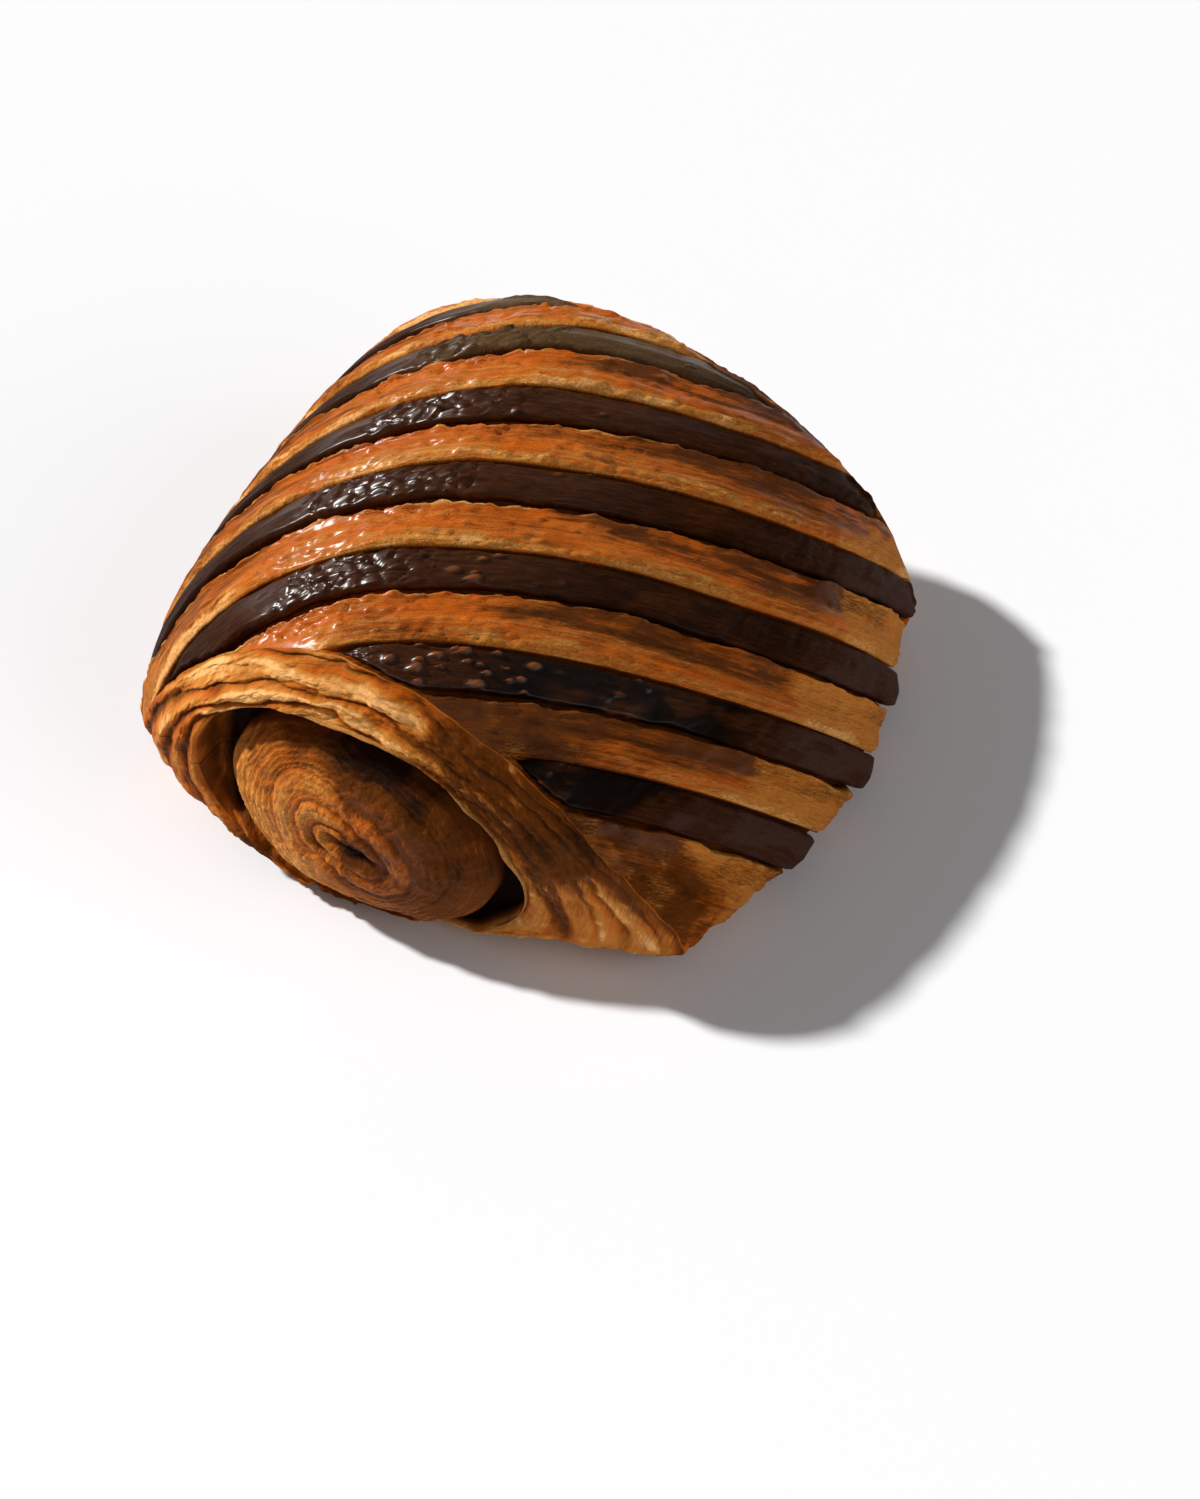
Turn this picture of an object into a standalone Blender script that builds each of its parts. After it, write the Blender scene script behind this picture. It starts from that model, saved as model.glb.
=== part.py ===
"""A pain au chocolat: laminated dough rolled up, wrapped in a last sheet, and crossed by strips of
cocoa dough. The roll lies along Y, its swirled ends face -Y and +Y, and it rests on Z = 0.
Lengths are named in millimetres, and the mesh is made in metres."""

import math

import bmesh
import bpy
import numpy as np

MM = 0.001

# The roll's outline across its middle, how it narrows and drops towards its two ends, and how far
# its right flank bellies out.
HALF_WIDTH = 52.4
HEIGHT = 54.8
HALF_LENGTH = 44.2
WIDEST_AT = 8.5
LEFT_ROUNDNESS = 1.65
RIGHT_ROUNDNESS = 1.77
FOOT_ROUNDNESS = 4.0
PRESSED_FLAT = 0.6
LEAN = 0.132
NARROWING = {-1: 0.182, 1: 0.034}
LOWERING = {-1: 0.067, 1: 0.169}
BELLY, BELLY_AT, BELLY_SPAN = 5.4, 4.5, 23.0
OFF_CENTRE = 2.67

# How far the rim of each end is drawn in at the left and the right foot.
LEFT_DRAW, LEFT_DRAW_FROM, LEFT_DRAW_SPAN = 7.6, 30.0, 30.0
RIGHT_DRAW, RIGHT_DRAW_FROM, RIGHT_DRAW_SPAN = 7.0, 115.0, 45.0
MOST_DRAW = 1.2

# The cocoa strips, measured along Y on the diagonal that they follow over the roll.
STRIPS = range(1, 8)
STRIP_AT_FOOT = 4
STRIP_START = -41.2
STRIP_WIDTH = 7.7
STRIP_PERIOD = 18.52
STRIP_SLOPE = 0.4676
STRIP_BEND = 0.00156
STRIP_BEND_AT = 70.0
STRIP_CLEAR_OF_RIM = 1.4
STRIP_CLEAR_OF_BOARD = 3.6
LEAST_TIP = 1.0
STRIP_THICK_BACK, STRIP_THICK, STRIP_THICK_FRONT = 1.4, 2.2, 2.0
TOUCHING_GAP = 0.3

# The channel that each strip lies in, the groove in front of it and the band of plain dough.
CHANNEL_DEPTH = 1.2
CHANNEL_MARGIN = 0.42
WALL_RUN = 0.25
GROOVE_DEPTH = 1.9
GROOVE_WIDTH = 1.0
LIP_RUN = 0.7
BAND_EDGE, BAND_DOME, BAND_SHOULDER, BAND_LIP = 0.3, 1.0, 1.1, 0.1
RELIEF_STARTS, RELIEF_FULL = 1.0, 6.0

# The rolled end: the outer wrap's lip, the gap behind it and the domed inner roll. Angles are in
# degrees round the swirl, from its right side over its top.
SWIRL = (-5.17, 21.0)
SWIRL_SCALE = {-1: (1.0, 1.0), 1: (1.08, 0.89)}
LIP_HALF = (27.5, 21.5)
ROLL_HALF = (22.4, 17.6)
END_TILT = math.radians(-12)
LIP_OUT = 4.6
LIP_DROP = 2.0
GAP_DEPTH = 7.5
GAP_OPENS, GAP_CLOSES = (-62.0, -38.0), (180.0, 212.0)
LAYERS_START, LAYERS_STOP = (5.0, 50.0), (170.0, 200.0)
ROLL_OUT = 4.4
ROLL_LEAN = 2.4
ROLL_DOME = 5.4
ROLL_EDGE = 1.2
TURN_PITCH = 5.4
TURN_RELIEF = 0.8
WRAP_LAYER_RELIEF = 0.9
FOOT_BULGE, FOOT_BULGE_AT = 13.2, -16.2
FOOT_BULGE_LEFT, FOOT_BULGE_RIGHT = 17.0, 30.0
FOOT_BULGE_EASE = 0.6

# How finely the surfaces are divided.
COLUMNS = 49
FOOT_POINTS = 15
WRAP_RINGS = 6
ROLL_RINGS = 16
SNAP = 0.8


def smooth(low, high, value):
    """0 below low and 1 above high, with an even run between them."""
    t = np.clip((value - low) / (high - low), 0.0, 1.0)
    return t * t * (3.0 - 2.0 * t)


def section(angle):
    """The middle section's outline at an angle round it, in half widths and heights."""
    c, s = np.cos(angle), np.sin(angle)
    right = 0.5 + 0.5 * c
    top = LEFT_ROUNDNESS * (1.0 - right) + RIGHT_ROUNDNESS * right
    power = np.where(s > 0.0, 2.0 / top, 2.0 / FOOT_ROUNDNESS)
    x = np.sign(c) * np.abs(c) ** power
    rise = np.abs(s) ** power
    widest = WIDEST_AT / HEIGHT
    flat = PRESSED_FLAT / HEIGHT
    low = (widest - widest * rise - flat) * widest / (widest - flat)
    z = np.where(s > 0.0, widest + (1.0 - widest) * rise, np.maximum(low, 0.0))
    return x - LEAN * np.maximum(z - widest, 0.0), z


def measure_girth():
    """Arc length against outline point, from the left foot over the top to the right foot. It is 0
    at the left flank's widest line."""
    foot = math.asin((1.0 - PRESSED_FLAT / WIDEST_AT) ** (FOOT_ROUNDNESS / 2.0))
    angle = np.linspace(math.pi + foot, -foot, 1201)
    x, z = section(angle)
    steps = np.hypot(np.diff(x) * HALF_WIDTH, np.diff(z) * HEIGHT)
    arc = np.concatenate(([0.0], np.cumsum(steps)))
    return arc - np.interp(math.pi, angle[::-1], arc[::-1]), x, z


ARC, ARC_X, ARC_Z = measure_girth()


def skin(girth, y):
    """The smooth outer surface at a girth and a place along the roll."""
    x = np.interp(girth, ARC, ARC_X)
    z = np.interp(girth, ARC, ARC_Z)
    along = y / HALF_LENGTH
    narrow = np.where(along < 0.0, NARROWING[-1], NARROWING[1])
    lower = np.where(along < 0.0, LOWERING[-1], LOWERING[1])
    width = HALF_WIDTH * (1.0 - narrow * np.abs(along) ** 3)
    height = HEIGHT * (1.0 - lower * np.abs(along) ** 3)
    belly = BELLY * np.maximum(x, 0.0) ** 2 * np.exp(-(((y - BELLY_AT) / BELLY_SPAN) ** 2))
    return np.stack([width * x + belly - OFF_CENTRE, y + 0.0 * x, height * z], axis=-1)


def raised(girth, y, height):
    """The outer surface moved out along its normal by height."""
    step = 0.6
    across = skin(girth + step, y) - skin(girth - step, y)
    along = skin(girth, y + step) - skin(girth, y - step)
    normal = np.cross(across, along)
    normal /= np.linalg.norm(normal, axis=-1, keepdims=True)
    return skin(girth, y) + normal * np.expand_dims(height, -1)


def relief_share(girth, y):
    """How much of the relief shows: none where the dough meets the board."""
    return smooth(RELIEF_STARTS, RELIEF_FULL, skin(girth, y)[..., 2])


def rim(girth, end):
    """Where the outer surface stops along Y at one end."""
    left = np.clip((LEFT_DRAW_FROM - girth) / LEFT_DRAW_SPAN, 0.0, MOST_DRAW)
    right = np.clip((girth - RIGHT_DRAW_FROM) / RIGHT_DRAW_SPAN, 0.0, MOST_DRAW)
    return end * (HALF_LENGTH - LEFT_DRAW * left**2 - RIGHT_DRAW * right**2)


def strip_line(girth):
    """Y of the middle of the strip that starts at the near left foot."""
    bend = STRIP_BEND * (girth - STRIP_BEND_AT) ** 2
    return STRIP_START + STRIP_SLOPE * girth + bend


HALF_STRIP = STRIP_WIDTH / 2.0
CHANNEL_HALF = HALF_STRIP + CHANNEL_MARGIN
GROOVE_FRONT = -CHANNEL_HALF - GROOVE_WIDTH
BAND_START = CHANNEL_HALF + WALL_RUN
BAND_END = STRIP_PERIOD + GROOVE_FRONT - LIP_RUN
BAND_RUN = BAND_END - BAND_START
ROWS = (
    (GROOVE_FRONT, -GROOVE_DEPTH),
    (-CHANNEL_HALF, -CHANNEL_DEPTH),
    (0.0, -CHANNEL_DEPTH),
    (CHANNEL_HALF, -CHANNEL_DEPTH),
    (BAND_START, BAND_EDGE),
    (BAND_START + 0.35 * BAND_RUN, BAND_DOME),
    (BAND_START + 0.75 * BAND_RUN, BAND_SHOULDER),
    (BAND_END, BAND_LIP),
)
ROW_PLACES = [place for place, _ in ROWS]
ROW_HEIGHTS = [height for _, height in ROWS]


def dough_relief(offset):
    """Height of the dough at an offset along Y from the middle line of the strip at the foot."""
    height = np.interp(offset, ROW_PLACES, ROW_HEIGHTS, period=STRIP_PERIOD)
    number = STRIP_AT_FOOT - np.round(offset / STRIP_PERIOD)
    bare = (number < min(STRIPS)) | (number > max(STRIPS))
    return np.where(bare, np.maximum(height, BAND_EDGE), height)


def new_object(name, bm, colour, roughness):
    """A shaded mesh object with its own material."""
    bmesh.ops.recalc_face_normals(bm, faces=bm.faces)
    mesh = bpy.data.meshes.new(name)
    bm.to_mesh(mesh)
    bm.free()
    mesh.shade_smooth()
    mesh.set_sharp_from_angle(angle=math.radians(50))
    material = bpy.data.materials.new(name + "_finish")
    material.use_nodes = True
    shader = material.node_tree.nodes["Principled BSDF"]
    shader.inputs["Base Color"].default_value = (*colour, 1.0)
    shader.inputs["Roughness"].default_value = roughness
    shader.inputs["Metallic"].default_value = 0.0
    mesh.materials.append(material)
    made = bpy.data.objects.new(name, mesh)
    bpy.context.scene.collection.objects.link(made)
    return made


def face(bm, corners):
    """A face through the corners that differ, if three are left."""
    kept = [v for i, v in enumerate(corners) if v is not corners[i - 1]]
    if len(set(kept)) > 2:
        bm.faces.new(kept)


def add_flank(bm, girths):
    """The outer surface from foot to foot: columns round the roll, and rows that follow the strips.
    Returns the columns."""
    periods = range(-6, 7)
    offsets = np.array(sorted(STRIP_PERIOD * n + place for n in periods for place in ROW_PLACES))
    columns = []
    for girth in girths:
        near, far = rim(girth, -1), rim(girth, 1)
        line = strip_line(girth)
        y = line + offsets
        before, after = y < near + SNAP, y > far - SNAP
        kept = offsets.copy()
        kept[before] = max(near - line, offsets[before].max())
        kept[after] = min(far - line, offsets[after].min())
        y[before], y[after] = near, far
        points = raised(girth, y, dough_relief(kept) * relief_share(girth, y))
        column = []
        for i, point in enumerate(points):
            if i and y[i] == y[i - 1]:
                column.append(column[-1])
            else:
                column.append(bm.verts.new(point * MM))
        columns.append(column)
    for left, right in zip(columns, columns[1:]):
        for i in range(len(offsets) - 1):
            face(bm, [left[i], left[i + 1], right[i + 1], right[i]])
    return columns


def foot_line(start, stop, end):
    """Points along an end's foot on the board, between two corners."""
    share = np.linspace(0.0, 1.0, FOOT_POINTS + 2)[1:-1]
    x = start[0] + (stop[0] - start[0]) * share
    y = start[1] + (stop[1] - start[1]) * share
    reach = np.where(x < FOOT_BULGE_AT, FOOT_BULGE_LEFT, FOOT_BULGE_RIGHT)
    bulge = FOOT_BULGE * np.exp(-(((x - FOOT_BULGE_AT) / reach) ** 2))
    y = y + end * bulge * np.sin(np.pi * share) ** FOOT_BULGE_EASE
    return np.stack([x, y, 0.0 * x], axis=-1)


def ellipse_reach(direction, half):
    """How far an ellipse with the end's tilt reaches from its centre in a direction."""
    turned = direction - END_TILT
    return 1.0 / np.hypot(np.cos(turned) / half[0], np.sin(turned) / half[1])


def end_rings(loop, end):
    """Rings of points from an end's rim to the middle of its swirl, and that middle."""
    scale = np.array(SWIRL_SCALE[end])
    centre = np.array(SWIRL) * scale
    away = loop[:, [0, 2]] - centre
    direction = np.arctan2(away[:, 1] / scale[1], away[:, 0] / scale[0])
    degrees = np.degrees(direction)
    degrees = np.where(degrees < -90.0, degrees + 360.0, degrees)
    reach = np.hypot(away[:, 0], away[:, 1])
    unit = away / reach[:, None]
    stretch = np.hypot(np.cos(direction) * scale[0], np.sin(direction) * scale[1])
    lip = np.minimum(ellipse_reach(direction, LIP_HALF) * stretch, 0.86 * reach)
    roll = np.minimum(ellipse_reach(direction, ROLL_HALF) * stretch, 0.86 * lip)
    deep = GAP_DEPTH * smooth(*GAP_OPENS, degrees) * (1.0 - smooth(*GAP_CLOSES, degrees))
    layered = smooth(*LAYERS_START, degrees) * (1.0 - smooth(*LAYERS_STOP, degrees))
    rim_out = end * loop[:, 1]
    lip_out = HALF_LENGTH + LIP_OUT - LIP_DROP * (1.0 - smooth(-30.0, 20.0, degrees))
    lip_out = np.maximum(lip_out, rim_out + 1.0)

    rings = []
    for number in range(1, WRAP_RINGS + 1):
        share = number / WRAP_RINGS
        ridge = WRAP_LAYER_RELIEF * (-1) ** number * (1.0 - share)
        swell = (lip_out - rim_out) * math.sin(0.5 * math.pi * share)
        rings.append((reach + (lip - reach) * share, rim_out + swell + ridge * layered))
    roll_out = HALF_LENGTH + ROLL_OUT - ROLL_LEAN * np.sin(direction)
    for share, depth in ((0.12, 0.75), (0.5, 1.0), (0.9, 0.8)):
        level = lip_out + (roll_out - lip_out) * share
        rings.append((lip + (roll - lip) * share, level - deep * depth))
    for share in np.linspace(1.0, 0.0, ROLL_RINGS + 1)[:-1]:
        dome = HALF_LENGTH + ROLL_OUT + ROLL_DOME * (1.0 - share**2.4)
        lean = ROLL_LEAN * np.sin(direction) * share
        edge = ROLL_EDGE * smooth(0.88, 1.0, share)
        turns = share * roll / TURN_PITCH + end * direction / (2.0 * math.pi)
        shown = smooth(0.05, 0.3, share) * (1.0 - smooth(0.85, 1.0, share))
        wave = TURN_RELIEF * shown * np.cos(2.0 * math.pi * turns)
        rings.append((share * roll, dome - lean - edge + wave))
    found = []
    for distance, out in rings:
        flat = centre + unit * distance[:, None]
        found.append(np.stack([flat[:, 0], end * out, flat[:, 1]], axis=-1))
    tip = np.array([centre[0], end * (HALF_LENGTH + ROLL_OUT + ROLL_DOME), centre[1]])
    return found, tip


def add_end(bm, loop, end):
    """One rolled end, from the closed loop of vertices at its rim and foot."""
    rings, tip = end_rings(np.array([v.co / MM for v in loop]), end)
    inner = loop
    for ring in rings:
        fresh = [bm.verts.new(point * MM) for point in ring]
        for i in range(len(loop)):
            face(bm, [inner[i - 1], inner[i], fresh[i], fresh[i - 1]])
        inner = fresh
    middle = bm.verts.new(tip * MM)
    for i in range(len(loop)):
        face(bm, [inner[i - 1], inner[i], middle])


def make_roll(girths):
    """The plain dough: flanks, two rolled ends and the flat underside, as one closed solid."""
    bm = bmesh.new()
    columns = add_flank(bm, girths)
    loops = {}
    feet = {}
    for end, row in ((-1, 0), (1, -1)):
        rim_points = [column[row] for column in columns]
        line = foot_line(rim_points[-1].co / MM, rim_points[0].co / MM, end)
        feet[end] = [bm.verts.new(point * MM) for point in line]
        loops[end] = rim_points + feet[end]
        add_end(bm, loops[end], end)
    left = list(dict.fromkeys(columns[0]))
    right = list(dict.fromkeys(columns[-1]))
    bm.faces.new(left + feet[1][::-1] + right[::-1] + feet[-1])
    return new_object("dough_roll", bm, (0.50, 0.20, 0.05), 0.42)


def strip_stations(number, girths):
    """The girths that a strip crosses, with its front and back offset from its middle line."""
    shift = (STRIP_AT_FOOT - number) * STRIP_PERIOD
    found = []
    for girth in girths:
        middle = strip_line(girth) + shift
        front = max(-HALF_STRIP, rim(girth, -1) + STRIP_CLEAR_OF_RIM - middle)
        back = min(HALF_STRIP, rim(girth, 1) - STRIP_CLEAR_OF_RIM - middle)
        clear = skin(girth, middle)[2] > STRIP_CLEAR_OF_BOARD
        if clear and back - front > LEAST_TIP:
            found.append((girth, middle, front, back))
    return found


def make_strip(number, girths):
    """One strip of cocoa dough, as a closed solid that lies in its channel."""
    outline = (
        (0.06, 0.0),
        (0.0, 0.5 * STRIP_THICK_FRONT),
        (0.08, STRIP_THICK_FRONT),
        (0.45, STRIP_THICK),
        (0.9, STRIP_THICK_BACK),
        (1.0, 0.6 * STRIP_THICK_BACK),
        (0.94, 0.0),
        (0.5, 0.0),
    )
    bm = bmesh.new()
    last = None
    for girth, middle, front, back in strip_stations(number, girths):
        full = min(1.0, (back - front) / HALF_STRIP)
        ring = []
        for share, thick in outline:
            y = middle + front + (back - front) * share
            floor = TOUCHING_GAP - CHANNEL_DEPTH * relief_share(girth, y)
            ring.append(bm.verts.new(raised(girth, y, floor + thick * full) * MM))
        if last:
            for i in range(len(ring)):
                face(bm, [last[i - 1], last[i], ring[i], ring[i - 1]])
        else:
            bm.faces.new(ring)
        last = ring
    bm.faces.new(last[::-1])
    return new_object(f"cocoa_strip_{number}", bm, (0.035, 0.013, 0.008), 0.35)


for old in list(bpy.data.objects):
    bpy.data.objects.remove(old)

GIRTHS = np.linspace(ARC[0], ARC[-1], COLUMNS)
make_roll(GIRTHS)
for strip_number in STRIPS:
    make_strip(strip_number, GIRTHS)
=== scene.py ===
# %% [markdown]
# # A pain au chocolat with cocoa stripes
# The real thing is a sheet of laminated dough, rolled up and wrapped in one last sheet. Strips of
# cocoa dough lie on that sheet, and the oven lifts every layer a little, so plain bands and cocoa
# strips become a row of soft steps with dark grooves between them. The two ends show the swirl.
# This script starts from the packed solids, which fix every size, and dresses them.

# %% Load the frame
import math
from itertools import product

import bpy
import numpy as np
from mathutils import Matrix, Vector


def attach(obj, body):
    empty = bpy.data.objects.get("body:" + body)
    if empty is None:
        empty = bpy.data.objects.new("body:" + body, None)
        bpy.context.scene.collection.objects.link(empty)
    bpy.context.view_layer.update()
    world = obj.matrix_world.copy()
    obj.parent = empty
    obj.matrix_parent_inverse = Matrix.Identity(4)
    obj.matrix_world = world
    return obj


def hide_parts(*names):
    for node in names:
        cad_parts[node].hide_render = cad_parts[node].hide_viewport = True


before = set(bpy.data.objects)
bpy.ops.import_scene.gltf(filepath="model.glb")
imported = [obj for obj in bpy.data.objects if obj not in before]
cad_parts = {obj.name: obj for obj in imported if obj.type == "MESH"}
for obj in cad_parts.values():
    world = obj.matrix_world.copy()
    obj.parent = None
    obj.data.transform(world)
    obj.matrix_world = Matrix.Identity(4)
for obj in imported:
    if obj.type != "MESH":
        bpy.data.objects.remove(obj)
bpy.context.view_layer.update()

print("solids:", sorted(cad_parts))

# %% [markdown]
# ## The camera
# The photograph looks down on the roll at fifty degrees, a little from the right of its near end.
# A camera is an eye point, a direction and a lens. They were found by matching the roll's outline
# and its stripes, so they are plain values here.

# %% Place the camera
MM = 0.001
CAMERA_EYE = (152.83, -299.9, 389.4)
CAMERA_TURN, CAMERA_TILT = math.radians(25.24), math.radians(50.0)
CAMERA_LENS = 76.25

forward = Vector((
    -math.sin(CAMERA_TURN) * math.cos(CAMERA_TILT),
    math.cos(CAMERA_TURN) * math.cos(CAMERA_TILT),
    -math.sin(CAMERA_TILT),
))
camera_data = bpy.data.cameras.new("camera")
camera_data.lens = CAMERA_LENS
camera_data.clip_start = 0.01
camera = bpy.data.objects.new("camera", camera_data)
camera.location = Vector(CAMERA_EYE) * MM
camera.rotation_euler = forward.to_track_quat("-Z", "Y").to_euler()
bpy.context.scene.collection.objects.link(camera)
bpy.context.scene.camera = camera
print("camera at", [round(v, 3) for v in camera.location])

# %% [markdown]
# ## The outline of the roll
# Cut across the middle, the roll is a low arch: a steep left flank, a ridge left of the middle, a
# long right flank and a foot pressed flat by the tray. A superellipse gives such an arch from two
# powers, and a lean pushes its top to one side. A drawn curve would do as well, but this formula
# takes the same named sizes as the solids, so the two always agree.

# %% The middle section
HALF_WIDTH, HEIGHT, HALF_LENGTH = 52.4, 54.8, 44.2
WIDEST_AT, PRESSED_FLAT, LEAN = 8.5, 0.6, 0.132
LEFT_ROUNDNESS, RIGHT_ROUNDNESS, FOOT_ROUNDNESS = 1.65, 1.77, 4.0
BELLY, BELLY_AT, BELLY_SPAN = 5.4, 4.5, 23.0
OFF_CENTRE = 2.67


def smooth(low, high, value):
    """0 below low and 1 above high, with a smooth run between them."""
    t = np.clip((value - low) / (high - low), 0.0, 1.0)
    return t * t * (3.0 - 2.0 * t)


def window(value, start, full, fade, stop):
    """0 up to start, 1 from full to fade, and 0 again from stop on."""
    return smooth(start, full, value) * (1.0 - smooth(fade, stop, value))


def section(angle):
    """The middle section's outline at an angle round it, in half widths and heights."""
    c, s = np.cos(angle), np.sin(angle)
    right = 0.5 + 0.5 * c
    top = LEFT_ROUNDNESS * (1.0 - right) + RIGHT_ROUNDNESS * right
    power = np.where(s > 0.0, 2.0 / top, 2.0 / FOOT_ROUNDNESS)
    x = np.sign(c) * np.abs(c) ** power
    rise = np.abs(s) ** power
    widest, flat = WIDEST_AT / HEIGHT, PRESSED_FLAT / HEIGHT
    low = (widest - widest * rise - flat) * widest / (widest - flat)
    z = np.where(s > 0.0, widest + (1.0 - widest) * rise, np.maximum(low, 0.0))
    return x - LEAN * np.maximum(z - widest, 0.0), z


# %% [markdown]
# ## Measuring round the roll
# Everything on the crust is placed by two lengths: how far round the roll it is, and how far along.
# The distance round is the girth. It is 0 where the left flank is widest and grows over the top.

# %% Girth, and the smooth skin over it
FOOT_ANGLE = math.asin((1.0 - PRESSED_FLAT / WIDEST_AT) ** (FOOT_ROUNDNESS / 2.0))
ANGLES = np.linspace(math.pi + FOOT_ANGLE, -FOOT_ANGLE, 2401)
ARC_X, ARC_Z = section(ANGLES)
steps = np.hypot(np.diff(ARC_X) * HALF_WIDTH, np.diff(ARC_Z) * HEIGHT)
ARC = np.concatenate(([0.0], np.cumsum(steps)))
ARC -= np.interp(math.pi, ANGLES[::-1], ARC[::-1])
NARROWING = {-1: 0.182, 1: 0.034}
LOWERING = {-1: 0.067, 1: 0.169}


def skin(girth, y):
    """The smooth outer surface at a girth and a place along the roll."""
    x, z = np.interp(girth, ARC, ARC_X), np.interp(girth, ARC, ARC_Z)
    along = y / HALF_LENGTH
    narrow = np.where(along < 0.0, NARROWING[-1], NARROWING[1])
    lower = np.where(along < 0.0, LOWERING[-1], LOWERING[1])
    width = HALF_WIDTH * (1.0 - narrow * np.abs(along) ** 3)
    height = HEIGHT * (1.0 - lower * np.abs(along) ** 3)
    belly = BELLY * np.maximum(x, 0.0) ** 2 * np.exp(-(((y - BELLY_AT) / BELLY_SPAN) ** 2))
    return np.stack([width * x + belly - OFF_CENTRE, y + 0.0 * x, height * z], axis=-1)


def raised(girth, y, height):
    """The outer surface moved out along its normal by height."""
    step = 0.6
    across = skin(girth + step, y) - skin(girth - step, y)
    along = skin(girth, y + step) - skin(girth, y - step)
    normal = np.cross(across, along)
    normal /= np.linalg.norm(normal, axis=-1, keepdims=True)
    return skin(girth, y) + normal * np.expand_dims(height, -1)


print("girth from foot to foot:", round(ARC[-1] - ARC[0], 1), "mm")

# %% [markdown]
# ## Uneven on purpose
# Dough is never even. A smooth random field, read at a point in millimetres, moves edges, raises
# blisters and breaks up lines. Blender has noise textures, but here the numbers have to move real
# points, so the field is worked out with numpy: random values on a lattice, blended in between.

# %% Random fields
PRIMES, SEED_STEP = (374761393, 668265263, 1274126177), 97531
SHUFFLES, LAST_SHIFT = ((13, 1103515245), (15, 668265263)), 14
LOW_32_BITS, LOW_16_BITS = 0xFFFFFFFF, 0xFFFF


def scatter(cells, seed):
    """A fixed random number from -1 to 1 for each whole-number cell."""
    mixed = sum(c * prime for c, prime in zip(cells, PRIMES)) + seed * SEED_STEP
    for shift, factor in SHUFFLES:
        mixed = (mixed ^ (mixed >> shift)) * factor & LOW_32_BITS
    return ((mixed ^ (mixed >> LAST_SHIFT)) & LOW_16_BITS) / (LOW_16_BITS / 2.0) - 1.0


def wobble(*axes, seed=0):
    """A smooth random field from -1 to 1, one unit wide, over any number of axes."""
    axes = np.broadcast_arrays(*axes)
    cells = [np.floor(a).astype(np.int64) for a in axes]
    parts = [a - c for a, c in zip(axes, cells)]
    parts = [p * p * p * (p * (6.0 * p - 15.0) + 10.0) for p in parts]
    total = 0.0
    for corner in product((0, 1), repeat=len(axes)):
        share = 1.0
        for side, part in zip(corner, parts):
            share = share * (part if side else 1.0 - part)
        total = total + share * scatter([c + side for c, side in zip(cells, corner)], seed)
    return total


def rough(*axes, seed=0, octaves=3):
    """Several wobbles laid over each other, each half as wide and half as high."""
    return sum(wobble(*[a * 2.0**n for a in axes], seed=seed + n) / 2.0**n for n in range(octaves))


def blisters(u, v, seed, share):
    """Separate round bumps from 0 to 1 on a one-unit lattice; share of the cells hold one."""
    cells = [np.floor(u).astype(np.int64), np.floor(v).astype(np.int64)]
    best = np.zeros(np.shape(u))
    for du, dv in product((-1, 0, 1), repeat=2):
        cell = [cells[0] + du, cells[1] + dv]
        middle_u = cell[0] + 0.5 + 0.36 * scatter(cell, seed)
        middle_v = cell[1] + 0.5 + 0.36 * scatter(cell, seed + 1)
        size = 0.34 + 0.16 * scatter(cell, seed + 2)
        here = scatter(cell, seed + 3) < 2.0 * share - 1.0
        far = np.hypot(u - middle_u, v - middle_v) / size
        best = np.maximum(best, np.where(here, np.clip(1.0 - far * far, 0.0, 1.0) ** 1.5, 0.0))
    return best


def plates(u, v, seed):
    """Uneven plates on a one-unit lattice, each tilted its own way, with cracks between them."""
    cells = [np.floor(u).astype(np.int64), np.floor(v).astype(np.int64)]
    nearest = second = np.full(np.shape(u), 9.0)
    tilted = np.zeros(np.shape(u))
    for du, dv in product((-1, 0, 1), repeat=2):
        cell = [cells[0] + du, cells[1] + dv]
        off_u = u - cell[0] - 0.5 - 0.42 * scatter(cell, seed)
        off_v = v - cell[1] - 0.5 - 0.42 * scatter(cell, seed + 1)
        far = np.hypot(off_u, off_v)
        slope = off_u * (1.0 + scatter(cell, seed + 2)) + off_v * (1.3 + scatter(cell, seed + 3))
        second = np.minimum(second, np.maximum(nearest, far))
        tilted = np.where(far < nearest, slope, tilted)
        nearest = np.minimum(nearest, far)
    return 1.1 * tilted - 1.0 + smooth(0.0, 0.25, second - nearest)


print("a wobble:", np.round(wobble(np.linspace(0, 3, 5)), 2))

# %% [markdown]
# ## Where the strips run
# The baker lays the cocoa strips side by side at a slant. Unrolled, their middle lines are parallel
# and bend a little. An offset says how far, along the roll, a point lies from the middle line of
# the strip that starts at the near left foot. All bands and grooves repeat with that offset.

# %% The strips' lines
STRIP_WIDTH, STRIP_PERIOD, STRIP_START = 7.7, 18.52, -41.2
STRIP_SLOPE, STRIP_BEND, STRIP_BEND_AT = 0.4676, 0.00156, 70.0
STRIPS, STRIP_AT_FOOT = range(1, 8), 4
HALF_STRIP, FOLD_OVER = STRIP_WIDTH / 2.0, (0.1, 1.7)


def strip_line(girth):
    """Y of the middle of the strip that starts at the near left foot."""
    return STRIP_START + STRIP_SLOPE * girth + STRIP_BEND * (girth - STRIP_BEND_AT) ** 2


def wander(girth, offset):
    """How far the strips stray along Y from their even lines."""
    return 0.55 * wobble(girth / 24.0, offset / 21.0, seed=5)


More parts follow.
